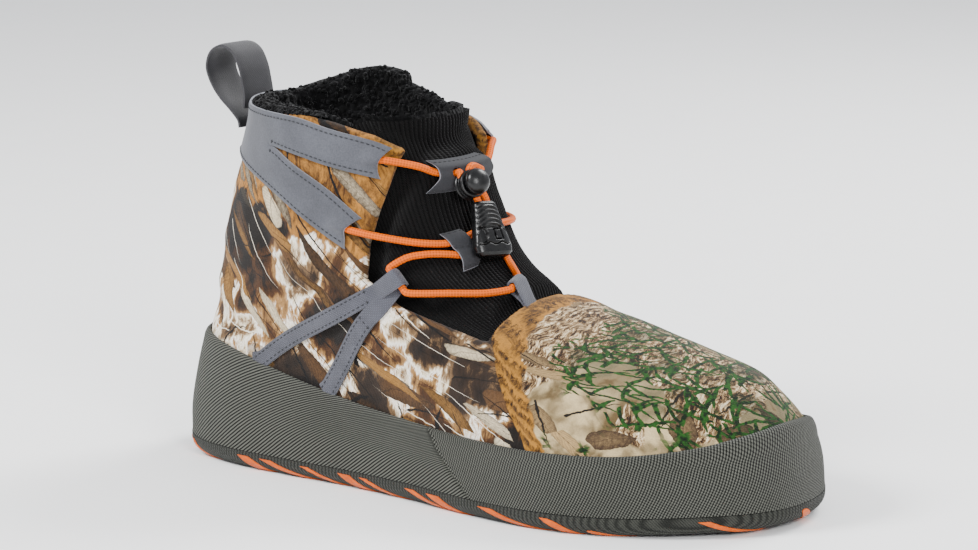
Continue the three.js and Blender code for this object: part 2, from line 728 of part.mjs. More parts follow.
// Collar overlay: a panel round the heel with two arms on each side, as a V on its side
function collarOverlay() {
  const bottom = wrap(OVERLAY_HEEL.bottom, OVERLAY_BOTTOM);
  const lowerTop = wrap(OVERLAY_HEEL.middle, [...OVERLAY_APEX, ...OVERLAY_LOWER_TOP]);
  const upperBottom = wrap(OVERLAY_HEEL.middle, [...OVERLAY_APEX, ...OVERLAY_UPPER_BOTTOM]);
  const top = wrap(COLLAR, OVERLAY_TOP);
  const steps = 30;
  const across = 2;
  const field = (low, high) => (i, k) => {
    const place = mix(-1, 1, i / steps);
    const share = k / across;
    const hollow = ARM_HOLLOW * 4 * share * (1 - share) * ease(0.75, 1, Math.abs(place));
    const [a, b] = [low, high].map((side) => side(place - Math.sign(place) * hollow));
    return { turn: mix(a.turn, b.turn, share), ring: mix(a.ring, b.ring, share) };
  };
  const apex = OVERLAY_APEX[OVERLAY_APEX.length - 1].place;
  const arms = field(upperBottom, top);
  const lower = (i, k) => {
    const shared = Math.abs(mix(-1, 1, i / steps)) <= apex;
    return field(bottom, shared ? upperBottom : lowerTop)(i, k);
  };
  const cells = [...cellsOf(steps, across, lower), ...cellsOf(steps, across, arms)];
  return plate(cells, () => overlayLift, () => overlayLift + overlayThickness);
}
add('collar_overlay', collarOverlay(), 0x6f7178, 0.8);

// A round cord through points, its ends closed
function cord(points, radius, steps) {
  const curve = new THREE.CatmullRomCurve3(points, false, 'centripetal');
  const frames = curve.computeFrenetFrames(steps, false);
  const sides = 8;
  const rows = [];
  for (let i = 0; i <= steps; i += 1) {
    const centre = curve.getPointAt(i / steps);
    rows.push([]);
    for (let k = 0; k < sides; k += 1) {
      const angle = (k / sides) * 2 * Math.PI;
      const ray = frames.normals[i].clone().multiplyScalar(Math.cos(angle));
      ray.addScaledVector(frames.binormals[i], Math.sin(angle));
      rows[i].push(centre.clone().addScaledVector(ray, radius));
    }
  }
  return stack(rows);
}

// The place that a table's row stands for
function point(row) {
  if ('turn' in row) return skin(row.turn, row.ring, row.out);
  if ('x' in row) return new THREE.Vector3(row.x, row.y, row.z);
  return new THREE.Vector3(LOCK_BASE.x + row.dx, LOCK_BASE.y + row.dy, LOCK_BASE.z + row.dz);
}

// A straight round rod between two points
function rod(from, to, radius, sides) {
  const length = from.distanceTo(to);
  const tool = new THREE.CylinderGeometry(radius, radius, length, sides);
  const upright = new THREE.Vector3(0, 1, 0);
  const heading = to.clone().sub(from).normalize();
  tool.applyQuaternion(new THREE.Quaternion().setFromUnitVectors(upright, heading));
  const middle = from.clone().add(to).multiplyScalar(0.5);
  tool.translate(middle.x, middle.y, middle.z);
  return plain(tool);
}

// A webbing ribbon on the upper along a line of the side view
function ribbon(side, rows, width, high) {
  const steps = 8;
  const line = (share, key) => through(rows, key, share * (rows.length - 1));
  const at = (i, k) => {
    const share = i / steps;
    const [x, z] = [line(share, 'along') * halfLength, line(share, 'up') * collarHeight];
    const [fx, fz] = [line(share + 0.02, 'along') * halfLength - x, line(share + 0.02, 'up') * collarHeight - z];
    const reach = ((k - 1) * width) / 2 / Math.hypot(fx, fz);
    const [turn, ring] = spot(side, x - fz * reach, z + fx * reach);
    return { turn, ring: Math.max(ring, RAND_TOP + 0.05), share };
  };
  return plate(cellsOf(steps, 2, at), () => strapLift, high);
}

// Lateral strap: webbing from the rand up, round the cord as a loop, and down to the rand again
function strapLateral() {
  const top = strapLift + strapThickness;
  const loop = LOOP_LATERAL.map(point);
  const swell = (at) => mix(top, LOOP_LATERAL[0].out + loopWall - 0.4, ease(0.86, 1, at.share));
  const rear = toManifold(ribbon(-1, STRAP_REAR, strapWidth, swell));
  const front = toManifold(ribbon(-1, STRAP_FRONT, strapWidth + 1, () => top));
  const sleeve = toManifold(rod(loop[0], loop[1], loopWall, 12));
  const heading = loop[1].clone().sub(loop[0]).normalize();
  const [from, to] = [loop[0].clone().addScaledVector(heading, -9), loop[1].clone().addScaledVector(heading, 9)];
  const bore = toManifold(rod(from, to, cordRadius + clearance, 10));
  return fromManifold(rear.add(front).add(sleeve).subtract(bore));
}
add('strap_lateral', strapLateral(), 0x6f7178, 0.8);

// Medial loop: webbing from under the vamp's rear edge, folded round the cord
function loopMedial() {
  const loop = LOOP_MEDIAL.map(point);
  const [low, high] = [knitLift, knitLift + strapThickness];
  const swell = (at) => mix(high, LOOP_MEDIAL[0].out + loopWall - 0.4, ease(0.5, 1, at.share));
  const at = (i, k) => {
    const share = i / 4;
    const row = LOOP_MEDIAL_WEB.map((end) => ({
      turn: mix(end.left, end.right, k / 2),
      ring: mix(end.leftRing, end.rightRing, k / 2),
    }));
    return { turn: mix(row[0].turn, row[1].turn, share), ring: mix(row[0].ring, row[1].ring, share), share };
  };
  const web = toManifold(plate(cellsOf(4, 2, at), () => low, swell));
  const sleeve = toManifold(rod(loop[0], loop[1], loopWall, 12));
  const heading = loop[1].clone().sub(loop[0]).normalize();
  const [from, to] = [loop[0].clone().addScaledVector(heading, -9), loop[1].clone().addScaledVector(heading, 9)];
  const bore = toManifold(rod(from, to, cordRadius + clearance, 10));
  return fromManifold(web.add(sleeve).subtract(bore));
}
add('loop_medial', loopMedial(), 0x6f7178, 0.8);

// Pull loop: webbing sewn outside and inside the collar at the heel
function pullLoop() {
  const curve = new THREE.CatmullRomCurve3(PULL_LOOP.map((row) => new THREE.Vector3(row.x, 0, row.z)), false, 'centripetal');
  const steps = 20;
  const sheet = (out) => {
    const rows = [];
    for (let i = 0; i <= steps; i += 1) {
      const centre = curve.getPointAt(i / steps);
      const heading = curve.getTangentAt(i / steps);
      rows.push([]);
      for (const side of [-1, 1]) {
        const across = pullShift + (side * pullWidth) / 2;
        rows[i].push(new THREE.Vector3(centre.x - heading.z * out, across, centre.z + heading.x * out));
      }
    }
    return rows;
  };
  return between(sheet(pullThickness / 2), sheet(-pullThickness / 2), false);
}
add('pull_loop', pullLoop(), 0x5e5b62, 0.85);

// A tab of the overlay fabric on the tongue, arched over the cords that pass under it
function tab(rows, steps) {
  const at = (i, k) => {
    const value = (key) => through(rows, key, (k / steps) * (rows.length - 1));
    const share = i / 6;
    const turn = mix(value('left'), value('right'), share);
    const ring = mix(value('leftRing'), value('rightRing'), share);
    return { turn, ring, rise: Math.max(value('rise'), 0) };
  };
  const low = (spotted) => knitLift + spotted.rise;
  return plate(cellsOf(6, steps, at), low, (spotted) => low(spotted) + tabThickness);
}

function tabUpper() {
  let body = toManifold(tab(TAB_UPPER, 8));
  for (const row of TAB_HOLES) {
    const [from, to] = [-4, 10].map((out) => skin(row.turn, row.ring, out));
    body = body.subtract(toManifold(rod(from, to, cordRadius + 2.4 * clearance, 10)));
  }
  return fromManifold(body);
}
add('tab_upper', tabUpper(), 0x6f7178, 0.8);
add('tab_lower', tab(TAB_LOWER, 9), 0x6f7178, 0.8);

// Laces: round elastic cord in joined stretches
add('lace_top_lateral', cord(LACE_TOP_LATERAL.map(point), cordRadius, 8), 0xf26a21, 0.5);
add('lace_top_medial', cord(LACE_TOP_MEDIAL.map(point), cordRadius, 12), 0xf26a21, 0.5);

add('lace_middle', cord(LACE_MIDDLE.map(point), cordRadius, 24), 0xf26a21, 0.5);
add('lace_lower', cord(LACE_LOWER.map(point), cordRadius, 22), 0xf26a21, 0.5);
add('lace_bar', cord(LACE_BAR.map(point), cordRadius, 12), 0xf26a21, 0.5);

// Cord lock: a drum with a cross bore for both cords and a post that guides the sprung button
const lockAxis = point(LOCK_AXIS).normalize();
const lockBase = point(LOCK_BASE);

function turned(profile, sides) {
  const tool = new THREE.LatheGeometry(profile.map(([radius, height]) => new THREE.Vector2(radius, height)), sides);
  tool.applyQuaternion(new THREE.Quaternion().setFromUnitVectors(new THREE.Vector3(0, 1, 0), lockAxis));
  tool.translate(lockBase.x, lockBase.y, lockBase.z);
  return toManifold(plain(tool));
}

function cordLock() {
  const [wide, top] = [lockRadius, lockHeight];
  const rim = [[0, 0], [wide + 0.4, 0], [wide + 0.4, 0.9], [wide, 1.2], [wide, top - 0.6], [wide - 0.6, top]];
  const drum = turned([...rim, [postRadius, top], [postRadius, postHeight], [0, postHeight]], 20);
  const [first, second] = [TAIL_LATERAL, TAIL_MEDIAL].map((rows) => bored(rows));
  return fromManifold(drum.subtract(first).subtract(second));
}

// The room that a cord needs on its way through a hard piece
function bored(rows) {
  const [last, end] = rows.slice(-2).map(point);
  const ahead = end.clone().sub(last).normalize();
  const room = cordRadius + 1.5 * clearance;
  const foot = rod(end.clone().addScaledVector(ahead, -3), end.clone().addScaledVector(ahead, 1), room, 8);
  return toManifold(cord(rows.map(point), room, TAIL_STEPS)).add(toManifold(foot));
}
add('cord_lock', cordLock(), 0x101011, 0.35);

function lockButton() {
  const under = lockHeight + buttonTravel + clearance;
  const roof = postHeight + buttonTravel + clearance;
  const bore = postRadius + clearance;
  const profile = [[0, roof], [bore, roof], [bore, under], [buttonRadius - 0.3, under]];
  const shoulder = roof + 1 - buttonDome;
  for (let k = 0; k <= 6; k += 1) {
    const angle = (k / 6) * (Math.PI / 2);
    profile.push([k === 6 ? 0 : buttonRadius * Math.cos(angle), shoulder + buttonDome * Math.sin(angle)]);
  }
  return fromManifold(turned(profile, 16));
}
add('lock_button', lockButton(), 0x101011, 0.3);

// Cord grip: a flat moulded pull that holds both cord ends, wider at its foot
function cordGrip() {
  const [top, foot, face] = [point(GRIP.top), point(GRIP.foot), point(GRIP.face)];
  const down = foot.clone().sub(top);
  const length = down.length();
  down.normalize();
  const across = new THREE.Vector3().crossVectors(down, face).normalize();
  const out = new THREE.Vector3().crossVectors(across, down).normalize();
  const place = (a, b, c) => top.clone().addScaledVector(across, a).addScaledVector(out, b).addScaledVector(down, c);
  const sides = 12;
  const rows = GRIP_ROWS.map((row) => [...Array(sides).keys()].map((k) => {
    const angle = (k / sides) * 2 * Math.PI;
    const bend = (value) => Math.sign(value) * Math.abs(value) ** 0.6;
    return place((bend(Math.cos(angle)) * row.width) / 2, (bend(Math.sin(angle)) * row.depth) / 2, row.at * length);
  }));
  let body = toManifold(stack(rows));
  for (const tail of [TAIL_LATERAL, TAIL_MEDIAL]) body = body.subtract(bored(tail));
  return fromManifold(body);
}
add('cord_grip', cordGrip(), 0x101011, 0.35);

add('lace_tail_lateral', cord(TAIL_LATERAL.map(point), cordRadius, TAIL_STEPS), 0xf26a21, 0.5);
add('lace_tail_medial', cord(TAIL_MEDIAL.map(point), cordRadius, TAIL_STEPS), 0xf26a21, 0.5);

export default object;
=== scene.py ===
"""Winter overshoe, right foot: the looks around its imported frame. Metres, +X to the toe, +Y medial, +Z up."""

import math

import bmesh
import bpy
import numpy as np
from mathutils import Matrix, Vector, kdtree, noise


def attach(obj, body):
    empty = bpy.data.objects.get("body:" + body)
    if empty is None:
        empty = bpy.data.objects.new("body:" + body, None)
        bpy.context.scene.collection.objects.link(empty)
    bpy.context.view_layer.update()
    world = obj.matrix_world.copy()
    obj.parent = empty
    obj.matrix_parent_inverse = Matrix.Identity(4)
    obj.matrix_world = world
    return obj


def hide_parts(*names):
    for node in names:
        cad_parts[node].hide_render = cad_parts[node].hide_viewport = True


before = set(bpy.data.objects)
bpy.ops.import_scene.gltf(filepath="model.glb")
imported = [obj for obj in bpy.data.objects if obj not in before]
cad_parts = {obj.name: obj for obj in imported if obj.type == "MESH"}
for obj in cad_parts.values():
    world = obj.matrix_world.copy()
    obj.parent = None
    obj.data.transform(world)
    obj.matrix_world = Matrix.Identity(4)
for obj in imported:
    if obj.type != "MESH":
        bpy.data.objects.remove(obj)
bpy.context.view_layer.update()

# The shoe stands on a plain pale floor under soft studio light. The camera looks at its lateral
# side from the front, a little from above, from 1.5 m away.
azimuth, elevation, roll = math.radians(37.5), math.radians(11.1), math.radians(0.65)
camera_distance, camera_lens, sensor_width = 1.5, 134.1, 36
camera_target, aim_rise = Vector((0, 0, 0.060)), 0.0243
level = math.cos(elevation)
back = Vector((math.sin(azimuth) * level, -math.cos(azimuth) * level, math.sin(elevation)))
right = Vector((math.cos(azimuth), math.sin(azimuth), 0))
up = right * math.sin(roll) + back.cross(right) * math.cos(roll)
camera_place = camera_target + back * camera_distance
aimed = (camera_place - (camera_target + up * aim_rise)).normalized()
across = up.cross(aimed).normalized()
facing = Matrix((across, aimed.cross(across), aimed)).transposed()
camera = bpy.data.objects.new("camera", bpy.data.cameras.new("camera"))
camera.data.lens = camera_lens
camera.data.sensor_width = sensor_width
camera.data.clip_end = 20
camera.matrix_world = Matrix.Translation(camera_place) @ facing.to_4x4()
bpy.context.scene.collection.objects.link(camera)
bpy.context.scene.camera = camera


def soft_light(name, place, size, power):
    lamp = bpy.data.lights.new(name, "AREA")
    lamp.shape = "DISK"
    lamp.size = size
    lamp.energy = power
    holder = bpy.data.objects.new(name, lamp)
    toward = (Vector(place) - camera_target).to_track_quat("Z", "Y")
    holder.matrix_world = Matrix.Translation(place) @ toward.to_matrix().to_4x4()
    bpy.context.scene.collection.objects.link(holder)


soft_light("key_light", (-0.75, -1.15, 1.25), 0.7, 44)
soft_light("front_light", (1.30, -0.80, 0.75), 0.6, 22)
soft_light("back_light", (0.20, 1.20, 1.20), 0.8, 30)

world = bpy.data.worlds.new("studio")
world.use_nodes = True
sky = world.node_tree.nodes["Background"]
sky.inputs["Color"].default_value = (0.93, 0.95, 1.0, 1)
sky.inputs["Strength"].default_value = 1.0
bpy.context.scene.world = world


class Value:
    """A shader socket. Arithmetic on it adds Math nodes, and node() adds any other node."""

    def __init__(self, tree, socket=None):
        self.tree = tree
        self.socket = socket

    def node(self, kind, inputs=None, output=0, stops=None, **settings):
        made = self.tree.nodes.new(kind)
        for name, value in settings.items():
            setattr(made, name, value)
        if stops:
            ramp = made.color_ramp
            while len(ramp.elements) < len(stops):
                ramp.elements.new(0.5)
            for element, (place, colour) in zip(ramp.elements, stops):
                element.position = place
                element.color = colour
        for key, value in (inputs or {}).items():
            if isinstance(value, Value):
                self.tree.links.new(value.socket, made.inputs[key])
            else:
                made.inputs[key].default_value = value
        return Value(self.tree, made.outputs[output])

    def math(self, operation, *others):
        values = [self, *others]
        return self.node("ShaderNodeMath", dict(enumerate(values)), operation=operation)

    def __add__(self, other):
        return self.math("ADD", other)

    def __sub__(self, other):
        return self.math("SUBTRACT", other)

    def __mul__(self, other):
        return self.math("MULTIPLY", other)

    def __rsub__(self, other):
        return (self * -1.0).math("ADD", other)

    __radd__ = __add__
    __rmul__ = __mul__

    def sin(self):
        return self.math("SINE")

    def clamp(self, low=0.0, high=1.0):
        return self.math("MAXIMUM", low).math("MINIMUM", high)

    def above(self, low, high):
        """0 below low, 1 above high, smooth between them."""
        steps = {"Value": self, "From Min": low, "From Max": high}
        return self.node("ShaderNodeMapRange", steps, interpolation_type="SMOOTHSTEP")

    def blend(self, first, second):
        """This value as the share of the second colour in the first."""
        return self.node("ShaderNodeMix", {0: self, 6: first, 7: second}, output=2, data_type="RGBA")

    def absolute(self):
        return self.math("ABSOLUTE")

    def scaled(self, factors):
        return self.node("ShaderNodeVectorMath", {0: self, 1: factors}, operation="MULTIPLY")

    def moved(self, other):
        return self.node("ShaderNodeVectorMath", {0: self, 1: other}, operation="ADD")

    def parts(self):
        return [self.node("ShaderNodeSeparateXYZ", {0: self}, output=k) for k in range(3)]

    def grain(self, scale, detail=3.0, roughness=0.55, output=0):
        inputs = {"Vector": self, "Scale": scale, "Detail": detail, "Roughness": roughness}
        return self.node("ShaderNodeTexNoise", inputs, output=output)


def shade(code):
    """A web colour as linear red, green, blue and alpha."""
    parts = [int(code[k : k + 2], 16) / 255 for k in (1, 3, 5)]
    return (*[c / 12.92 if c <= 0.04045 else ((c + 0.055) / 1.055) ** 2.4 for c in parts], 1.0)


def material(name, roughness, **constants):
    """A new material, the start of its node maths, and its shader."""
    made = bpy.data.materials.new(name)
    made.use_nodes = True
    shader = made.node_tree.nodes["Principled BSDF"]
    shader.inputs["Roughness"].default_value = roughness
    for key, value in constants.items():
        shader.inputs[key.replace("_", " ")].default_value = value
    return made, Value(made.node_tree), shader


def feed(shader, key, value):
    value.tree.links.new(value.socket, shader.inputs[key])


def relief(shader, height, distance, strength=1.0):
    inputs = {"Height": height, "Distance": distance, "Strength": strength}
    feed(shader, "Normal", height.node("ShaderNodeBump", inputs))


def place_of(start):
    return start.node("ShaderNodeTexCoord", output=3)


def cloth_of(start):
    return start.node("ShaderNodeUVMap", uv_map="cloth")


floor_material, start, shader = material("pale_floor", 0.75)
speckle = place_of(start).grain(30.0, 2.0)
feed(shader, "Base Color", speckle.blend(shade("#fafaf9"), shade("#fdfdfc")))
floor_mesh = bpy.data.meshes.new("floor")
floor_mesh.from_pydata([(-6, -6, 0), (6, -6, 0), (6, 6, 0), (-6, 6, 0)], [], [(0, 1, 2, 3)])
floor_mesh.materials.append(floor_material)
floor = bpy.data.objects.new("floor", floor_mesh)
bpy.context.scene.collection.objects.link(floor)

# Outsole: a foam slab in woven grey-green fabric, its edge rolled up to the rand. Under it an
# orange rubber print of crossing bars, laid out for this part, gives the grip.
half_length, half_ball, collar_height = 0.150, 0.064, 0.154
sole_thickness, sole_roll, sole_welt, toe_spring = 0.008, 0.007, 0.002, 0.0015
rand_lift, rand_thickness, rand_top = 0.0006, 0.0022, 3.0
gap = 0.0003
wall = 0.005

# along, lateral, medial, collar along, collar, inner, sag
outline = np.array([
    (0.000, 0.00, 0.00, 0.000, 0.00, 0.00, 0.00), (0.017, 0.33, 0.33, 0.018, 0.26, 0.26, 0.00),
    (0.067, 0.59, 0.59, 0.070, 0.48, 0.47, 0.03), (0.146, 0.73, 0.71, 0.152, 0.69, 0.67, 0.20),
    (0.250, 0.77, 0.72, 0.260, 0.85, 0.82, 0.55), (0.371, 0.79, 0.69, 0.380, 0.96, 0.92, 0.88),
    (0.500, 0.87, 0.73, 0.505, 1.00, 0.95, 1.00), (0.629, 0.98, 0.86, 0.630, 0.98, 0.92, 1.00),
    (0.750, 1.00, 0.96, 0.748, 0.92, 0.85, 0.93), (0.854, 0.86, 0.91, 0.852, 0.81, 0.74, 0.78),
    (0.933, 0.61, 0.70, 0.932, 0.62, 0.56, 0.50), (0.983, 0.33, 0.39, 0.982, 0.34, 0.31, 0.17),
    (1.000, 0.00, 0.00, 1.000, 0.00, 0.00, 0.00),
])
# back, back up, front, front up, dip, half, round
rings = np.array([
    (-0.980, 0.052, 0.996, 0.052, 0.000, 0.965, 0.00), (-0.978, 0.132, 0.990, 0.127, -0.012, 0.965, 0.00),
    (-0.955, 0.235, 0.976, 0.191, -0.049, 0.945, 0.00), (-0.926, 0.345, 0.955, 0.259, -0.092, 0.910, 0.05),
    (-0.913, 0.427, 0.842, 0.363, -0.106, 0.865, 0.28), (-0.908, 0.520, 0.700, 0.414, -0.106, 0.815, 0.58),
    (-0.893, 0.613, 0.520, 0.456, -0.090, 0.770, 0.85), (-0.874, 0.694, 0.350, 0.489, -0.076, 0.730, 1.00),
    (-0.850, 0.770, 0.190, 0.523, -0.045, 0.695, 1.00), (-0.824, 0.832, 0.063, 0.594, -0.012, 0.670, 1.00),
    (-0.799, 0.886, -0.015, 0.724, 0.000, 0.660, 1.00), (-0.776, 0.943, -0.055, 0.855, 0.005, 0.658, 1.00),
    (-0.763, 0.990, -0.113, 0.976, 0.000, 0.655, 1.00),
])
collar_ring = 12.0
medial_half = outline[-2:0:-1]
lap_along = np.concatenate([outline[:, 0], medial_half[:, 0]])
lap_across = np.concatenate([-outline[:, 1], medial_half[:, 2]])
lap_collar_along = np.concatenate([outline[:, 3], medial_half[:, 3]])
lap_collar = np.concatenate([-outline[:, 4], medial_half[:, 5]])
lap_sag = np.concatenate([outline[:, 6], medial_half[:, 6]])


def cubic(a, b, c, d, t):
    return b + 0.5 * t * (c - a + t * (2 * a - 5 * b + 4 * c - d + t * (3 * (b - c) + d - a)))


def through(values, place):
    """Smooth curve through equally spaced values."""
    values = np.asarray(values, float)
    padded = np.concatenate([[2 * values[0] - values[1]], values, [2 * values[-1] - values[-2]]])
    at = np.clip(np.floor(place).astype(int), 0, len(values) - 2)
    return cubic(padded[at], padded[at + 1], padded[at + 2], padded[at + 3], place - at)


def round_lap(values, turn):
    count = len(values)
    place = (turn % 1.0) * count
    at = np.floor(place).astype(int)
    return cubic(*[values[(at + k) % count] for k in (-1, 0, 1, 2)], place - at)


def ease(low, high, value):
    t = np.clip((value - low) / (high - low), 0, 1)
    return t * t * (3 - 2 * t)


def spring_at(x):
    return toe_spring * ease(0.55 * half_length, half_length, x)


def form(turn, ring):
    """Outer face of the upper: turn 0 is the heel, 0.25 the lateral side, 0.5 the toe."""
    turn, ring = np.broadcast_arrays(np.asarray(turn, float), np.asarray(ring, float))
    back_x, back_up, front_x, front_up, dip, half, rounding = [through(rings[:, k], ring) for k in range(7)]
    rounding = np.clip(rounding, 0, 1)
    along = round_lap(lap_along, turn) * (1 - rounding) + round_lap(lap_collar_along, turn) * rounding
    aside = round_lap(lap_across, turn) * (1 - rounding) + round_lap(lap_collar, turn) * rounding
    x = half_length * (back_x * (1 - along) + front_x * along)
    lift = spring_at(x) * (1 - ease(0, rand_top + 1, ring))
    z = collar_height * (back_up * (1 - along) + front_up * along + dip * round_lap(lap_sag, turn)) + lift
    return np.stack([x, half_ball * half * aside, z], -1)


def unit(vectors):
    return vectors / np.linalg.norm(vectors, axis=-1, keepdims=True)


def lengths(points, axis=0):
    """Length run so far along one axis of a path or a grid of points."""
    steps = np.linalg.norm(np.diff(points, axis=axis), axis=-1)
    return np.insert(np.cumsum(steps, axis=axis), 0, 0, axis=axis)


def normal(turn, ring):
    around = form(turn + 0.004, ring) - form(turn - 0.004, ring)
    above, below = np.minimum(ring + 0.04, collar_ring + 1), np.maximum(ring - 0.04, 0)
    return unit(np.cross(around, form(turn, above) - form(turn, below)))


def skin(turn, ring, out=0.0):
    turn, ring, out = np.broadcast_arrays(*[np.asarray(v, float) for v in (turn, ring, out)])
    return form(turn, ring) + normal(turn, ring) * out[..., None]


def quads(rows, columns):
    """Faces of a grid of points, a row after the other."""
    at = np.arange(rows * columns).reshape(rows, columns)
    faces = np.stack([at[:-1, :-1], at[:-1, 1:], at[1:, 1:], at[1:, :-1]], -1)
    return faces.reshape(-1, 4).tolist()


def finished(name, points, faces, finish, slot, uv=None, body="boot", nodes=(), weld=1e-6, crease=60):
    """A mesh object at the origin that rides on a body and stands for its CAD nodes."""
    mesh = bpy.data.meshes.new(name)
    mesh.from_pydata(np.asarray(points).tolist(), [], faces)
    if uv is not None:
        layer = mesh.uv_layers.new(name="cloth")
        corners = np.zeros(len(mesh.loops), int)
        mesh.loops.foreach_get("vertex_index", corners)
        layer.data.foreach_set("uv", np.asarray(uv, np.float32)[corners].ravel())
    work = bmesh.new()
    work.from_mesh(mesh)
    bmesh.ops.remove_doubles(work, verts=work.verts, dist=weld)
    bmesh.ops.dissolve_degenerate(work, edges=work.edges, dist=1e-7)
    work.to_mesh(mesh)
    work.free()
    mesh.materials.append(finish)
    mesh.shade_smooth()
    mesh.set_sharp_from_angle(angle=math.radians(crease))
    made = bpy.data.objects.new(name, mesh)
    bpy.context.scene.collection.objects.link(made)
    if nodes:
        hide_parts(*nodes)
    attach(made, body)
    return made


def clipped(spots, faces, keep):
    """The faces of a flat net of spots where keep is above 0, cut along keep = 0."""
    spots = [tuple(s) for s in spots]
    cuts = {}

    def cut(a, b):
        key = (min(a, b), max(a, b))
        if key not in cuts:
            share = keep[key[0]] / (keep[key[0]] - keep[key[1]])
            one, other = spots[key[0]], spots[key[1]]
            cuts[key] = len(spots)
            spots.append(tuple(p + (q - p) * share for p, q in zip(one, other)))
        return cuts[key]

    left = []
    for face in faces:
        inside = [keep[v] > 0 for v in face]
        if all(inside):
            left.append(face)
        elif any(inside):
            made = []
            for k, v in enumerate(face):
                after = face[(k + 1) % len(face)]
                if keep[v] > 0:
                    made.append(v)
                if (keep[v] > 0) != (keep[after] > 0):
                    made.append(cut(v, after))
            left.append(made)
    used = sorted({v for face in left for v in face})
    new = {v: k for k, v in enumerate(used)}
    return np.array([spots[v] for v in used]), [[new[v] for v in face] for face in left]


def rim_of(faces):
    """The open edges of some faces, each in its face's direction."""
    seen = {}
    for face in faces:
        for a, b in zip(face, face[1:] + face[:1]):
            seen[(a, b)] = True
    return [(a, b) for a, b in seen if (b, a) not in seen]


def from_rim(points, faces, ignore=None):
    """Distance of each point from the open edges, measured to close steps along them."""
    rim = [e for e in rim_of(faces) if ignore is None or not (ignore[e[0]] and ignore[e[1]])]
    tree = kdtree.KDTree(len(rim) * 5)
    for k, (a, b) in enumerate(rim):
        for step in range(5):
            tree.insert(points[a] + (points[b] - points[a]) * step / 5, k)
    tree.balance()
    return np.array([tree.find(p)[2] for p in points])


def walled(outer, inner, faces, ignore=None):
    """Points and faces of a closed layer between an outer and an inner sheet of the same net."""
    count = len(outer)
    made = list(faces) + [[v + count for v in reversed(face)] for face in faces]
    for a, b in rim_of(faces):
        if ignore is None or not (ignore[a] and ignore[b]):
            made.append([b, a, a + count, b + count])
    return np.concatenate([outer, inner]), made


def layer(name, outer, inner, faces, finish, slot, uv=None, ignore=None, **rest):
    """A closed layer between two sheets of the same net, as a finished piece."""
    points, closed = walled(outer.reshape(-1, 3), inner.reshape(-1, 3), faces, ignore)
    uv = None if uv is None else np.concatenate([uv, uv])
    return finished(name, points, closed, finish, slot, uv=uv, **rest)


def ribbed(value, pitch):
    """Round threads side by side."""
    return (value * (math.pi / pitch)).sin().absolute()


def woven(name, pitch, angle, by_cloth, warp, dark="#040504", light="#55564f"):
    """Grey-green cloth of thick threads at an angle, with warp as the share of the stronger ones."""
    made, start, shader = material(name, 0.88, Specular_IOR_Level=0.15, Sheen_Weight=0.05)
    where = cloth_of(start) if by_cloth else place_of(start)
    u, v, w = where.parts()
    u, v = u + w * 0.7, v + w * 0.7
    turned_u = u * math.cos(angle) + v * math.sin(angle)
    turned_v = v * math.cos(angle) - u * math.sin(angle)
    uneven = where.grain(300.0, 2.0) * 0.0002
    height = ribbed(turned_v + uneven, pitch) * warp + ribbed(turned_u + uneven, pitch) * (1 - warp)
    soil = place_of(start).grain(28.0, 4.0).above(0.35, 0.72)
    thread = height.above(0.40, 0.95).blend(shade(dark), shade(light))
    feed(shader, "Base Color", (soil * 0.2).blend(thread, shade("#24251f")))
    feed(shader, "Roughness", height * -0.12 + 0.93)
    relief(shader, height, 0.0005, 1.0)
    return made


sole_fabric = woven("sole_fabric", 0.00125, math.radians(40), False, 0.6, "#1a1b18", "#363732")
rubber_print, start, shader = material("orange_rubber_print", 0.5, Specular_IOR_Level=0.25)
mottle = place_of(start).grain(240.0, 4.0)
orange = mottle.above(0.3, 0.75).blend((0.46, 0.070, 0.0, 1), (0.62, 0.100, 0.0, 1))
feed(shader, "Base Color", orange)
feed(shader, "Roughness", mottle * 0.25 + 0.32)
relief(shader, place_of(start).grain(1600.0, 2.0), 0.00008, 0.5)

lap_turns = np.linspace(0, 1, 401)
roll_steps = np.linspace(0, math.pi / 2, 8)


def lap(ring, out, height):
    points = skin(lap_turns, np.full_like(lap_turns, ring), out)
    points[:, 2] = height + spring_at(points[:, 0])
    return points


rand_out = rand_lift + rand_thickness
flat_edge = lap(0, rand_out - sole_roll, 0.0)
spine = flat_edge.copy()
spine_heel, spine_toe = -0.098, 0.092
spine[:, 0] = np.clip(flat_edge[:, 0], spine_heel, spine_toe)
spine[:, 1] = np.interp(spine[:, 0], (spine_heel, -0.02, spine_toe), (0.0, -0.003, 0.0))
spine[:, 2] = spring_at(spine[:, 0])
shares = np.linspace(0, 1, 34)
sole_rows = [spine * (1 - s) + flat_edge * s for s in shares]
for row in sole_rows:
    row[:, 2] = spring_at(row[:, 0])
for angle in roll_steps[1:]:
    rise = (sole_thickness - sole_welt) * (1 - math.cos(angle))
    sole_rows.append(lap(0, rand_out - sole_roll * (1 - math.sin(angle)), rise))
sole_rows = np.array(sole_rows)
over_edge = lap(0, rand_out, sole_thickness - gap)
top_spine = spine + (0, 0, sole_thickness - gap)
top_middle = over_edge * 0.5 + top_spine * 0.5
top_middle[:, 2] = sole_thickness - gap + spring_at(top_middle[:, 0])
net = np.concatenate([sole_rows, [over_edge, top_middle, top_spine]])
faces = quads(*net.shape[:2])
finished("outsole_fabric", net.reshape(-1, 3), faces, sole_fabric, "sole_fabric", nodes=["outsole"])

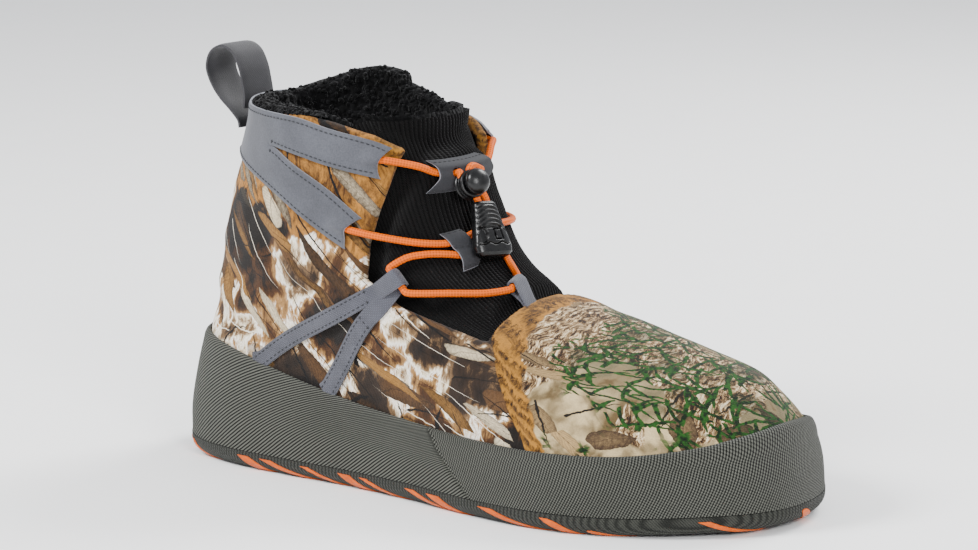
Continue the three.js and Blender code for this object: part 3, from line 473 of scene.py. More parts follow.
# Bars of the grip print in millimetres: from x, y to x, y on the flat sole, and width
print_bars = [
    (-150, -20, -96, 44, 5), (-150, 26, -70, -52, 5), (-118, -52, -52, 48, 4.5), (-96, 50, -8, -62, 5),
    (-70, 52, -52, 18, 4), (-62, -58, 34, 52, 5), (-30, 56, 46, -74, 5.5), (-8, -66, 18, -22, 4),
    (8, 62, 96, -66, 5), (18, -74, 92, 66, 5), (52, 70, 66, 22, 4), (62, -74, 152, 22, 5.5),
    (74, 70, 152, -26, 5), (104, -58, 118, 60, 4.5), (-132, -44, -122, 44, 4), (-40, -64, -20, -14, 4),
]
print_lift, print_sunk, print_floor = 0.00035, 0.0002, -0.00028
# How far the print's pattern runs up the rolled edge and slides along it
print_climb, print_slide = 0.0102, 0.022


def from_segment(points, a, b):
    a, b = np.asarray(a, float), np.asarray(b, float)
    share = np.clip(((points - a) @ (b - a)) / ((b - a) @ (b - a)), 0, 1)
    return np.linalg.norm(points - a - share[:, None] * (b - a), axis=1)


flat = sole_rows[..., :2].copy()
outward = flat_edge[:, :2] - sole_rows[len(shares) - 2][:, :2]
outward /= np.linalg.norm(outward, axis=1, keepdims=True) + 1e-9
along_edge = outward[:, ::-1] * (-1, 1)
for k, angle in enumerate(roll_steps[1:]):
    moved = (outward * print_climb + along_edge * print_slide) * (angle / (math.pi / 2))
    flat[len(shares) + k] = flat_edge[:, :2] + moved
flat = flat.reshape(-1, 2)
bars = np.max([
    width / 2000 - from_segment(flat, np.array((x1, y1)) / 1000, np.array((x2, y2)) / 1000)
    for x1, y1, x2, y2, width in print_bars
], axis=0)
print_spots, print_faces = clipped(sole_rows.reshape(-1, 3), quads(*sole_rows.shape[:2]), bars)


def face_normals(points, faces):
    total = np.zeros_like(points)
    for face in faces:
        a, b, c = points[face[0]], points[face[1]], points[face[-1]]
        total[face] += np.cross(b - a, c - a)
    return total / (np.linalg.norm(total, axis=1, keepdims=True) + 1e-15)


print_up = face_normals(print_spots, print_faces)
if print_up[:, 2].sum() > 0:
    print_faces = [face[::-1] for face in print_faces]
    print_up = -print_up
outer = print_spots + print_up * print_lift
outer[:, 2] = np.maximum(outer[:, 2], print_floor)
inner = print_spots - print_up * print_sunk
layer("grip_print", outer, inner, print_faces, rubber_print, "sole_fabric")

# Rand: a band of the same woven fabric round the heel and one round the forefoot, sewn to the
# sole's edge and over the foot of the upper. They meet in a slanted, turned seam on each side.
rand_seam_foot, rand_seam_top, rand_seam_bow = 0.290, 0.258, 0.012


def seam_turn(share):
    return rand_seam_foot * (1 - share) + rand_seam_top * share - rand_seam_bow * share * (1 - share)


def rand(name, start_turn, end_turn, columns, finish, node, overlap):
    shares, places = np.meshgrid(np.linspace(0, 1, 37), np.linspace(0, 1, columns), indexing="ij")
    turn = start_turn(shares) * (1 - places) + end_turn(shares) * places
    ring = shares * rand_top
    near = form(turn, ring)
    up_band = lengths(near[:, columns // 4])
    length = lengths(near, axis=1)
    from_end = np.minimum(length, length[:, -1:] - length)
    from_top = up_band[-1] - up_band[:, None]
    fold = 1 - (1 - np.clip(from_top / 0.0022, 0, 1)) ** 2
    end_fold = 1 - (1 - np.clip(from_end / 0.0015, 0, 1)) ** 2
    soft = np.array([noise.noise((x * 22, y * 22, z * 30)) for x, y, z in near.reshape(-1, 3)])
    stitch_groove = -0.0005 * np.exp(-(((from_end - 0.0036) / 0.0007) ** 2)) * overlap
    out = rand_lift + rand_thickness * (0.30 + 0.70 * fold) * (0.55 + 0.45 * end_fold)
    out = out + soft.reshape(turn.shape) * 0.0006 * fold + stitch_groove
    out += overlap * 0.0006 * np.exp(-((from_end / 0.004) ** 2)) * end_fold
    out -= (1 - overlap) * 0.0014 * (1 - ease(0.0008, 0.0028, from_end))
    outer, inner = skin(turn, ring, out), skin(turn, ring, rand_lift)
    for sheet in (outer, inner):
        sheet[0, :, 2] = sole_thickness + spring_at(sheet[0, :, 0])
    run = length - length[:, columns // 2, None]
    uv = np.stack([run, np.broadcast_to(up_band[:, None], run.shape)], -1).reshape(-1, 2)
    layer(name, outer, inner, quads(*turn.shape), finish, "sole_fabric", uv, nodes=[node])


heel_weave = woven("heel_rand_fabric", 0.00135, math.radians(38), True, 0.95)
toe_weave = woven("toe_rand_fabric", 0.00106, math.radians(62), True, 0.65)
heel_lap, toe_gap = 0.0022, gap / 3
rand(
    "heel_rand", lambda s: -seam_turn(s) - heel_lap, lambda s: seam_turn(s) + heel_lap,
    260, heel_weave, "rand_heel", 0.0)
rand(
    "toe_rand", lambda s: seam_turn(s) + toe_gap, lambda s: 1 - seam_turn(s) - toe_gap,
    250, toe_weave, "rand_toe", 1.0)

# Insole: a fleece footbed that lies inside the wall on the sole board. Its pile is trodden a
# little flat under the heel and the ball.


def shell_noise(points, scale, seed=0.0):
    shift = Vector((seed, seed, seed))
    return np.array([noise.noise(Vector(p) * scale + shift) for p in points])


pile_look = {"Specular_IOR_Level": 0.1, "Sheen_Weight": 0.06, "Sheen_Roughness": 0.5}
fleece, start, shader = material("black_fleece", 0.96, **pile_look)
where = place_of(start)
stirred = where.moved(where.grain(160.0, 2.0, output=1).scaled((0.004, 0.004, 0.004)))
curl = where.node("ShaderNodeTexVoronoi", {"Vector": stirred, "Scale": 330.0})
tone = (where.grain(90.0, 4.0) * 0.6 + curl * 0.5).above(0.25, 0.85)
feed(shader, "Base Color", tone.blend(shade("#020202"), shade("#0d0d0e")))
relief(shader, curl * -1.0 + where.grain(900.0, 3.0) * 0.5, 0.0014, 1.0)

bed_turns = np.linspace(0, 1, 161)
bed_edge = skin(bed_turns, np.full_like(bed_turns, 0.3), -wall - 2 * gap)
bed_middle = bed_edge.copy()
bed_middle[:, 0] = np.clip(bed_edge[:, 0], -0.10, 0.095)
bed_middle[:, 1] = 0
bed_floor = sole_thickness + gap
# Share of the way from the middle to the edge, and height over the bed's underside
bed_profile = [
    (0, 0.0), (1, 0.0), (1, 0.0035), (0.97, 0.0045), (0.85, 0.0048), (0.6, 0.0046), (0.3, 0.0044),
    (0, 0.0044),
]
bed_rows = []
for share, height in bed_profile:
    row = bed_middle * (1 - share) + bed_edge * share
    row[:, 2] = bed_floor + height + spring_at(row[:, 0])
    bed_rows.append(row)
bed_rows = np.array(bed_rows)
faces = quads(*bed_rows.shape[:2])
finished("insole_fleece", bed_rows.reshape(-1, 3), faces, fleece, "fleece", nodes=["insole"])

# Upper: brushed printed cloth over wadding, lined with fleece, in a quarter and a vamp that
# meet in a seam over the ball. It is open at the collar and down the throat.
# The print is this part's own: bark, leaf and blade shapes in tan, brown, cream and green.
throat = np.array([
    (-0.470, 1.100), (-0.440, 0.985), (-0.320, 0.966), (-0.200, 0.938), (-0.128, 0.903), (-0.150, 0.824),
    (-0.180, 0.740), (-0.203, 0.655), (-0.200, 0.564), (-0.080, 0.504), (0.043, 0.474), (0.196, 0.438),
    (0.204, 0.559), (0.280, 1.200),
]) * (half_length, collar_height)


def throat_depth(points):
    """Depth of points inside the opening, in the side view; outside it is negative."""
    flat = points[:, [0, 2]]
    nearest = np.full(len(flat), np.inf)
    inside = np.zeros(len(flat), bool)
    for k in range(len(throat)):
        a, b = throat[k - 1], throat[k]
        if k > 1:
            nearest = np.minimum(nearest, from_segment(flat, a, b))
        crosses = (a[1] > flat[:, 1]) != (b[1] > flat[:, 1])
        if a[1] != b[1]:
            inside ^= crosses & (flat[:, 0] < a[0] + (b[0] - a[0]) * (flat[:, 1] - a[1]) / (b[1] - a[1]))
    return np.where(inside, nearest, -nearest)


def spot(side, x, z):
    """Turn and ring of the points of the upper that the side view shows at x, z."""
    x, z = [np.atleast_1d(np.asarray(v, float)) for v in (x, z)]
    turns, ring_grid = np.meshgrid(np.linspace(0, 0.5, 81), np.linspace(0, collar_ring, 97))
    turns, ring_grid = turns.ravel() if side < 0 else 1 - turns.ravel(), ring_grid.ravel()
    known = form(turns, ring_grid)
    nearest = [int(np.argmin((known[:, 0] - a) ** 2 + (known[:, 2] - b) ** 2)) for a, b in zip(x, z)]
    turn, ring = turns[nearest], ring_grid[nearest]
    for _ in range(8):
        here = form(turn, ring)
        by_turn = (form(turn + 1e-4, ring) - here) / 1e-4
        by_ring = (form(turn, ring + 1e-3) - here) / 1e-3
        miss_x, miss_z = x - here[:, 0], z - here[:, 2]
        area = by_turn[:, 0] * by_ring[:, 2] - by_turn[:, 2] * by_ring[:, 0]
        area = np.where(np.abs(area) < 1e-7, 1e-7, area)
        step_turn = (miss_x * by_ring[:, 2] - miss_z * by_ring[:, 0]) / area
        step_ring = (miss_z * by_turn[:, 0] - miss_x * by_turn[:, 2]) / area
        turn = turn + np.clip(step_turn, -0.02, 0.02)
        ring = ring + np.clip(step_ring, -0.3, 0.3)
        turn = np.clip(turn, 0, 0.5) if side < 0 else np.clip(turn, 0.5, 1)
        ring = np.clip(ring, 0, collar_ring + 0.6)
    return turn, ring


def side_line(side, knots, steps=24):
    """A smooth line on the upper through millimetre knots of the side view, as turns and rings."""
    knots = np.array(knots, float) / 1000
    place = np.linspace(0, len(knots) - 1, steps)
    return spot(side, through(knots[:, 0], place), through(knots[:, 1], place))


# The seam between quarter and vamp, in millimetres of the side view
vamp_seam = [(30.7, 67.8), (40.2, 59.0), (49.6, 47.9), (60.4, 33.5)]
seam_lines = [side_line(-1, vamp_seam), side_line(1, vamp_seam)]
# Soft folds: side, knots of the side view, width and depth
folds = [
    (-1, [(-30, 84), (-52, 80), (-80, 72)], 9, 1.5), (-1, [(-26, 78), (-44, 64), (-50, 52)], 8, 1.2),
    (-1, [(-2, 70), (-8, 58), (-6, 46)], 9, 1.1), (-1, [(16, 66), (14, 54), (22, 42)], 8, 1.0),
    (-1, [(-128, 84), (-112, 78), (-92, 80)], 8, 1.3), (-1, [(-130, 66), (-110, 60), (-84, 58)], 9, 1.1),
    (-1, [(-96, 104), (-84, 92), (-80, 78)], 10, 1.0), (-1, [(-64, 104), (-58, 92), (-62, 82)], 9, -0.9),
    (1, [(-30, 84), (-56, 78), (-84, 74)], 9, 1.6), (1, [(-24, 78), (-40, 62), (-44, 50)], 8, 1.3),
    (1, [(0, 70), (-6, 58), (-4, 46)], 9, 1.2), (1, [(18, 66), (18, 54), (26, 42)], 8, 1.0),
    (1, [(-128, 84), (-108, 80), (-90, 84)], 8, 1.3), (1, [(-100, 108), (-88, 94), (-86, 80)], 10, 1.0),
    (-1, [(80, 52), (84, 44), (92, 36)], 10, 0.8), (1, [(80, 52), (86, 44), (94, 36)], 10, 0.8),
]


def from_line(points, turns, places):
    """A line on the upper and the distance of each point from it."""
    path = skin(turns, places)
    return path, np.min([from_segment(points, a, b) for a, b in zip(path[:-1], path[1:])], axis=0)


def bump(away, width):
    return np.exp(-((away / width) ** 2))


def folded(points):
    """How far folds, ridges, seams and the cloth's own unevenness move the upper's points."""
    out = 0.0007 * shell_noise(points, 26.0) + 0.00035 * shell_noise(points, 75.0, 3.0)
    for side, knots, width, depth in folds:
        path, away = from_line(points, *side_line(side, knots, 14))
        ends = [np.linalg.norm(points - end, axis=1) for end in (path[0], path[-1])]
        fade = ease(0, 0.014, np.minimum(*ends)) * 0.75 + 0.25
        trough = bump(away, width / 2000) - 0.45 * bump(away - width / 1000, width / 2000)
        out -= depth / 1000 * trough * fade
    for turns, places in seam_lines:
        _, away = from_line(points, turns, places)
        out -= 0.0011 * bump(away, 0.0011) - 0.0004 * bump(away - 0.004, 0.0022)
    return out


map_turns, map_rings = 241, 61


def cloth_map(turn, ring):
    """Lengths round and up the upper, from the toe's middle and the sole, as the print's map."""
    turns, places = np.linspace(0, 1, map_turns), np.linspace(0, collar_ring, map_rings)
    grid = form(*np.meshgrid(turns, places))
    around, upward = lengths(grid, axis=1), lengths(grid)
    around -= around[:, map_turns // 2, None]

    def at(table):
        a = np.clip(turn, 0, 1) * (map_turns - 1)
        b = np.clip(ring, 0, collar_ring) * (map_rings - 1) / collar_ring
        i = np.clip(a.astype(int), 0, map_turns - 2)
        j = np.clip(b.astype(int), 0, map_rings - 2)
        s, t = a - i, b - j
        low = table[j, i] * (1 - s) + table[j, i + 1] * s
        high = table[j + 1, i] * (1 - s) + table[j + 1, i + 1] * s
        return low * (1 - t) + high * t

    return np.stack([at(around), at(upward)], -1)


cloth_look = {"Specular_IOR_Level": 0.15, "Sheen_Weight": 0.05, "Sheen_Roughness": 0.6}
camo, start, shader = material("camo_cloth", 0.93, **cloth_look)
where, cloth = place_of(start), cloth_of(start)
x, y, z = where.parts()

def stirred(value, scale, reach):
    """Places moved about by noise, so that what is drawn on them has ragged edges."""
    noise_there = where.grain(scale, 3.0, output=1).moved((-0.5, -0.5, -0.5))
    return value.moved(noise_there.scaled(reach))


warp = stirred(where, 45.0, (0.018, 0.018, 0.018))
ragged = stirred(cloth, 300.0, (0.0022, 0.0022, 0.0))


def strewn(offset, scale, length, width, lean, spread, bow):
    """One motif in each cell of the cloth at its own slant: its mask, places on it and its chance."""
    moved = ragged.moved((offset, offset * 0.7, 0.0))
    cell = {"Vector": moved, "Scale": scale}
    chance = moved.node("ShaderNodeTexVoronoi", cell, output=1, voronoi_dimensions="2D").parts()
    middle = moved.node("ShaderNodeTexVoronoi", cell, output=2, voronoi_dimensions="2D")
    away = moved.node("ShaderNodeVectorMath", {0: moved, 1: middle}, operation="SUBTRACT")
    dx, dy, _ = away.parts()
    angle = (chance[0] - 0.5) * spread + lean
    c, s = angle.math("COSINE"), angle.sin()
    along = dx * c + dy * s
    aside = dy * c - dx * s + along * along * bow
    reach = along * (1 / length)
    body = (1 - reach * reach) * width - aside.absolute()
    return body.above(0.0, 0.0002), along, aside, body, chance


def leaf(colour, offset, scale, length, width, dark, light, some):
    """Leaves with a rib, veins and darker edges, laid over a colour."""
    mask, along, aside, body, chance = strewn(offset, scale, length, width, 0.6, 5.0, 12.0)
    dark, light = shade(dark), shade(light)
    veins = ((along + aside.absolute() * 1.4) * (2 * math.pi / 0.0021)).sin().above(0.55, 0.95)
    rib = 1 - aside.absolute().above(0.00012, 0.00035)
    tone = chance[1] * 0.5 + where.grain(700.0, 4.0, 0.7) * 0.6 + body * (0.2 / width) - 0.15
    drawn = tone.above(0.1, 0.9).blend(dark, light)
    drawn = (veins * 0.35 + rib * 0.5).clamp().blend(drawn, dark)
    edge = 1 - body.above(0.0, 0.0007)
    drawn = (edge * 0.55).blend(drawn, shade("#17120e"))
    return (mask * chance[2].above(some, some + 0.02)).blend(colour, drawn)


def stroke(colour, offset, scale, length, width, tint, zone, lean, spread, bow, some):
    """Thin bowed strokes, such as twigs and blades, laid over a colour inside a zone."""
    mask, _, _, _, chance = strewn(offset, scale, length, width, lean, spread, bow)
    return (mask * zone * chance[2].above(some, some + 0.02)).blend(colour, tint)


fibres = warp.scaled((1.0, 1.0, 0.22)).grain(420.0, 6.0, 0.7)
leafy = warp.grain(70.0, 3.0)
patch_tone = warp.moved((0.013, 0.0, 0.021)).grain(21.0, 3.0, 0.55)


def ramp(value, stops):
    """A value through a row of colours at their places."""
    stops = [(place, shade(code)) for place, code in stops]
    return value.node("ShaderNodeValToRGB", {0: value}, stops=stops)


bark = ramp(patch_tone + (fibres - 0.5) * 0.16, [
    (0.35, "#090707"), (0.43, "#2c2017"), (0.465, "#7d6040"), (0.485, "#e6d5b6"), (0.50, "#fffaf0"),
    (0.52, "#a67d4a"), (0.555, "#4a2e17"), (0.61, "#120d0a")])
ochre = (fibres * 0.6 + leafy * 0.4).above(0.36, 0.64).blend(shade("#341c08"), shade("#b27a34"))
streaks = warp.scaled((2.6, 0.8, 0.8)).grain(250.0, 6.0, 0.8)
cream = ramp(streaks, [(0.40, "#100b07"), (0.47, "#4a3320"), (0.53, "#a4855a"), (0.61, "#eddcb9")])
stone = leafy.above(0.35, 0.65).blend(shade("#5d4b2e"), shade("#cbb588"))
# Where the colours lie: ochre at the collar and on the strip behind the vamp's front, pale at the toe
ochre_zone = (z + leafy * 0.05 + (x + 0.07) * 0.25).above(0.128, 0.132)
strip_back = (x - 0.0325 + (z - 0.066) * 0.82).above(0.0, 0.0006)
toe_zone = (x - 0.0635 + (z - 0.050) * 0.8 + (leafy - 0.5) * 0.014 - y * 0.15).above(0.0, 0.0012)
pale_zone = warp.grain(21.0, 2.0).above(0.49, 0.51)
not_toe, not_ochre = 1 - toe_zone, 1 - ochre_zone
colour = ochre_zone.blend(bark, ochre)
colour = leaf(colour, 0.11, 31.0, 0.0165, 0.0068, "#120c08", "#5f4226", 0.40)
colour = leaf(colour, 0.37, 43.0, 0.0125, 0.0048, "#3a2b1c", "#e0cfae", 0.66)
colour = leaf(colour, 0.64, 38.0, 0.0135, 0.0056, "#241606", "#9f7238", 0.72)
twig, stalk = shade("#0d0b0a"), shade("#f2e9d6")
colour = stroke(colour, 0.73, 27.0, 0.0300, 0.0009, shade("#0a0909"), not_toe, 1.1, 1.6, 4.0, 0.15)
colour = stroke(colour, 0.91, 34.0, 0.0230, 0.0005, twig, not_toe, 0.2, 2.6, 9.0, 0.15)
colour = stroke(colour, 0.17, 40.0, 0.0180, 0.0004, twig, not_toe, 2.2, 2.6, 12.0, 0.3)
colour = stroke(colour, 0.29, 40.0, 0.0170, 0.0004, stalk, not_ochre, 1.9, 2.2, 14.0, 0.35)
ribs = (x * 0.5 + z - y * 0.15) * (2 * math.pi / 0.0034) + fibres * 9.0 + leafy * 8.0
strip = streaks * 0.45 + fibres * 0.45 + ribs.sin().above(-0.6, 0.9) * 0.10
strip = strip.above(0.36, 0.60).blend(shade("#1c0e04"), shade("#a37028"))
colour = strip_back.blend(colour, strip)
toe = pale_zone.blend(cream, stone)
toe = leaf(toe, 0.53, 40.0, 0.0120, 0.0046, "#33241a", "#a98c5f", 0.5)
toe = stroke(toe, 0.61, 34.0, 0.0220, 0.0006, shade("#120d0a"), toe_zone, 0.5, 2.0, 6.0, 0.3)
blade_field = warp.moved((0.4, 0.2, 0.0)).grain(24.0, 2.0) + (y + 0.01) * 1.8 + (x - 0.05) * 1.1
blade_zone = toe_zone * blade_field.above(0.43, 0.47)
# Dark olive under the blades: partly the print's undergrowth, partly painted shade that deepens towards the
# toe's front and medial side
undergrowth_and_painted_shade = blade_field.above(0.45, 0.62) * leafy.above(0.40, 0.55) * 0.7
toe = undergrowth_and_painted_shade.blend(toe, shade("#1c2411"))
green = where.grain(500.0, 2.0).above(0.35, 0.65).blend(shade("#041606"), shade("#1d4a12"))
blade_layers = [
    (0.07, 66, 0.4), (0.23, 72, 1.3), (0.41, 60, 2.2), (0.83, 78, 0.9), (0.58, 70, 1.8), (0.34, 84, 0.1)]
for offset, scale, lean in blade_layers:
    toe = stroke(toe, offset, scale, 0.0135, 0.0009, green, blade_zone, lean, 1.3, 26.0, 0.1)
colour = toe_zone.blend(colour, toe)
nap = where.grain(1500.0, 4.0, 0.7)
colour = (nap.above(0.25, 0.75) * 0.22 + 0.08).blend(colour, shade("#14100d"))
feed(shader, "Base Color", colour)
feed(shader, "Roughness", nap * 0.12 + 0.86)


def weave(u, v, pitch, ribs):
    """Height of a plain weave with stronger ribs along u."""
    over = (u * (math.pi / pitch)).sin() * (v * (math.pi / pitch)).sin()
    return over * (1 - ribs) * 0.5 + ribbed(v, pitch) * ribs + 0.5 * (1 - ribs)


u, v, _ = cloth.parts()
relief(shader, weave(u, v, 0.0009, 0.4) * 0.5 + nap * 0.6, 0.0003, 0.8)

turn_grid, ring_grid = np.meshgrid(np.linspace(0, 1, 361), np.linspace(0, collar_ring, 151))
spots = np.stack([turn_grid.ravel(), ring_grid.ravel()], -1)
depth = throat_depth(skin(spots[:, 0], spots[:, 1]))
spots, faces = clipped(spots, quads(*turn_grid.shape), -depth)
base = skin(*spots.T)


def edge_drop(away, radius):
    """How far a rounded edge falls short of its full height: 1 at the edge, 0 past the radius."""
    return 1 - np.sqrt(1 - (1 - np.clip(away / radius, 0, 1)) ** 2)


def on_heel_line(spots):
    """Where the net's two ends meet at the heel, which is no edge of the cloth."""
    return (spots[:, 0] < 1e-9) | (spots[:, 0] > 1 - 1e-9)


hem_radius, hem_outside, hem_inside = 0.0024, 0.0023, 0.0020
heel_edge = on_heel_line(spots)
edge_away = from_rim(base, faces, heel_edge)
hem = edge_drop(edge_away, hem_radius)
above_rand = ease(rand_top - 0.4, rand_top + 0.5, spots[:, 1])
upper_out = folded(base) * ease(0.0, 0.006, edge_away) * above_rand - hem_outside * hem
outer = skin(*spots.T, upper_out)
inner = skin(*spots.T, -wall + hem_inside * hem)
low_rows = spots[:, 1] < 1e-9
for sheet in (outer, inner):
    sheet[low_rows, 2] = sole_thickness + spring_at(sheet[low_rows, 0])
layer("camo_upper", outer, inner, faces, camo, "camo_cloth", cloth_map(*spots.T), heel_edge, nodes=["upper"])

# Stitching: every seam is sewn with dark polyester thread. Each stitch is a short bead that lies
# along its seam, set out along the seam's line at the machine's pitch.


def sewing_thread(name, dark, light):
    made, start, shader = material(name, 0.7)
    feed(shader, "Base Color", place_of(start).grain(700.0, 2.0).blend(shade(dark), shade(light)))
    return made


dark_thread = sewing_thread("dark_thread", "#0c0c0e", "#202126")
brown_thread = sewing_thread("brown_thread", "#2b2118", "#5a4632")


def new_tree(name, inputs):
    """A Geometry Nodes tree with named inputs and one result, and its two end nodes."""
    tree = bpy.data.node_groups.new(name, "GeometryNodeTree")
    for label, kind in inputs.items():
        tree.interface.new_socket(label, in_out="INPUT", socket_type=f"NodeSocket{kind}")
    tree.interface.new_socket("Result", in_out="OUTPUT", socket_type="NodeSocketGeometry")
    return tree, tree.nodes.new("NodeGroupInput"), tree.nodes.new("NodeGroupOutput")


def wire(tree, links):
    for source, out, target, into in links:
        tree.links.new(source.outputs[out], target.inputs[into])


def copies(tree, given, result, finish, points, shape, rotation, scale):
    """Copies of a shape at points, made real and given the material of one of the inputs."""
    kinds = ("GeometryNodeInstanceOnPoints", "GeometryNodeRealizeInstances", "GeometryNodeSetMaterial")
    placed, real, dressed = [tree.nodes.new(kind) for kind in kinds]
    wire(tree, [
        (*points, placed, "Points"), (shape, "Mesh", placed, "Instance"), (*rotation, placed, "Rotation"),
        (*scale, placed, "Scale"), (placed, "Instances", real, "Geometry"),
        (real, "Geometry", dressed, "Geometry"), (given, finish, dressed, "Material"),
        (dressed, "Geometry", result, "Result")])


def stitch_tree():
    inputs = {
        "Seam": "Geometry", "Pitch": "Float", "Stitch Length": "Float", "Thread Radius": "Float",
        "Thread": "Material"}
    tree, given, result = new_tree("stitch_row", inputs)
    steps = tree.nodes.new("GeometryNodeResampleCurve")
    steps.mode = "LENGTH"
    tangent = tree.nodes.new("GeometryNodeInputTangent")
    aligned = tree.nodes.new("FunctionNodeAlignRotationToVector")
    aligned.axis = "X"
    bead = tree.nodes.new("GeometryNodeMeshUVSphere")
    for key, value in (("Segments", 8), ("Rings", 4), ("Radius", 1.0)):
        bead.inputs[key].default_value = value
    size = tree.nodes.new("ShaderNodeCombineXYZ")
    wire(tree, [
        (given, "Seam", steps, "Curve"), (given, "Pitch", steps, "Length"), (tangent, 0, aligned, "Vector"),
        (given, "Stitch Length", size, "X"), (given, "Thread Radius", size, "Y"),
        (given, "Thread Radius", size, "Z")])
    copies(tree, given, result, "Thread", (steps, "Curve"), bead, (aligned, 0), (size, 0))
    return tree


stitch_row = stitch_tree()


def grown(name, source, tree, values):
    """The mesh that a Geometry Nodes tree makes of an object, as a piece of its own."""
    modifier = source.modifiers.new("grown", "NODES")
    modifier.node_group = tree
    for item in tree.interface.items_tree:
        if item.in_out == "INPUT" and item.name in values:
            modifier[item.identifier] = values[item.name]
    source.update_tag()
    seen = source.evaluated_get(bpy.context.evaluated_depsgraph_get())
    mesh = bpy.data.meshes.new_from_object(seen)
    source.modifiers.remove(modifier)
    bpy.data.objects.remove(source)
    mesh.name = name
    mesh.shade_smooth()
    made = bpy.data.objects.new(name, mesh)
    bpy.context.scene.collection.objects.link(made)
    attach(made, "boot")


def seam_curve(name, lines):
    curve = bpy.data.curves.new(name, "CURVE")
    curve.dimensions = "3D"
    for line in lines:
        spline = curve.splines.new("POLY")
        spline.points.add(len(line) - 1)
        spline.points.foreach_set("co", np.column_stack([line, np.ones(len(line))]).ravel())
    made = bpy.data.objects.new(name, curve)
    bpy.context.scene.collection.objects.link(made)
    return made


def stitches(name, lines, finish, pitch, length, radius):
    values = {"Pitch": pitch, "Stitch Length": length / 2, "Thread Radius": radius, "Thread": finish}
    grown(name, seam_curve(name, lines), stitch_row, values)


vamp_rows = []
for turns, places in seam_lines:
    path, face = skin(turns, places), normal(turns, places)
    aside = unit(np.cross(np.gradient(path, axis=0), face))
    forward = np.sign(aside[:, 0].mean())
    vamp_rows.append((path + aside * forward * 0.0024 - face * 0.0002)[:-1])
stitches("vamp_seam_stitches", vamp_rows, brown_thread, 0.0026, 0.0019, 0.00024)

# Lining: black pile fleece inside the whole boot, sewn in at the collar, where it stands a few
# millimetres over the edge, most on the medial side. The pile lies in small curls.
pile = 0.0034
ring_height = 0.0072
tongue_half, tongue_top = 0.238, 11.25


def collar_rise(turn):
    """How far the lining stands over the collar."""
    return 0.0012 + 0.0052 * bump(turn - 0.83, 0.11) + 0.0016 * bump(turn - 0.04, 0.05)


lining_rings = np.concatenate([np.linspace(0.6, 5, 12), np.linspace(5.2, 12.95, 74)])
turn_grid, ring_grid = np.meshgrid(np.linspace(0, 1, 331), lining_rings)
spots = np.stack([turn_grid.ravel(), ring_grid.ravel()], -1)
turn, ring = spots.T
depth = throat_depth(skin(turn, ring, -wall / 2))
rise = collar_rise(turn)
tongue_middle = 1 - np.minimum(np.abs(turn - 0.5) / tongue_half, 1) ** 2
tongue_head = tongue_top + 0.75 * ease(0.1, 0.7, tongue_middle)
tongue_ends = np.maximum(5.0 - ring, ring - tongue_head - 0.04) * 0.02
tongue_side = np.maximum(np.abs(turn - 0.5) - tongue_half + 0.002, tongue_ends)
keep = np.minimum(np.minimum(rise - depth, (collar_ring - ring) * ring_height + rise), tongue_side)
spots, faces = clipped(spots, quads(*turn_grid.shape), keep)
turn, ring = spots.T
base = skin(turn, ring, -wall)
heel_edge = on_heel_line(spots)
edge_away = from_rim(base, faces, heel_edge)
fluff = 0.0010 * shell_noise(base, 160.0) + 0.0008 * shell_noise(base, 330.0, 5.0)
fluff = fluff + 0.0009 * shell_noise(base, 60.0, 9.0)
lean = 0.0016 * ease(collar_ring - 0.2, collar_ring + 0.6, ring)
lining_out = -wall - 0.0002 + lean + fluff * 0.3 * ease(11.8, 12.1, ring)
lining_in = -wall - pile * (1 - edge_drop(edge_away, 0.003)) + fluff * ease(6, 9, ring) - 0.0004
outer = skin(turn, ring, lining_out)
inner = skin(turn, ring, np.minimum(lining_in, lining_out - 0.0004))
layer("fleece_lining", outer, inner, faces, fleece, "fleece", ignore=heel_edge, crease=80)


def curl_tree():
    inputs = {"Cloth": "Geometry", "Curls Per Area": "Float", "Curl Size": "Float", "Pile": "Material"}
    tree, given, result = new_tree("pile_curls", inputs)
    scattered = tree.nodes.new("GeometryNodeDistributePointsOnFaces")
    scattered.inputs["Seed"].default_value = 7
    curl = tree.nodes.new("GeometryNodeMeshIcoSphere")
    curl.inputs["Radius"].default_value = 1.0
    curl.inputs["Subdivisions"].default_value = 1
    sizes = tree.nodes.new("FunctionNodeRandomValue")
    sizes.inputs["Seed"].default_value = 3
    for share, into in ((0.65, 2), (1.45, 3)):
        limit = tree.nodes.new("ShaderNodeMath")
        limit.operation = "MULTIPLY"
        limit.inputs[1].default_value = share
        wire(tree, [(given, "Curl Size", limit, 0), (limit, 0, sizes, into)])
    wire(tree, [(given, "Cloth", scattered, "Mesh"), (given, "Curls Per Area", scattered, "Density")])
    copies(tree, given, result, "Pile", (scattered, "Points"), curl, (scattered, "Rotation"), (sizes, 1))
    return tree


pile_curls = curl_tree()


def curls(name, points, faces, density, size):
    mesh = bpy.data.meshes.new(name)
    mesh.from_pydata(points.tolist(), [], faces)
    source = bpy.data.objects.new(name, mesh)
    bpy.context.scene.collection.objects.link(source)
    values = {"Curls Per Area": density, "Curl Size": size, "Pile": fleece}
    grown(name, source, pile_curls, values)


# The pile spills over the collar's rim, furthest down at the heel
rim_grid = np.meshgrid(np.linspace(-0.292, 0.292, 181), np.linspace(0, 1, 25))
rim_turn, rim_share = [part.ravel() for part in rim_grid]
spill = (0.46 * ease(0.27, 0.08, np.abs(rim_turn)) + 0.02) * np.clip(1 - 2 * rim_share, 0, 1)
inward = np.clip(2 * rim_share - 1, 0, 1)


def rim_points(lift):
    hem = hem_outside * edge_drop(spill * ring_height, hem_radius)
    on_side = skin(rim_turn, collar_ring - spill, lift - hem)
    on_top = skin(rim_turn, collar_ring + lift / ring_height, -hem_outside - 0.0031 * inward)
    return np.where((rim_share < 0.5)[:, None], on_side, on_top)


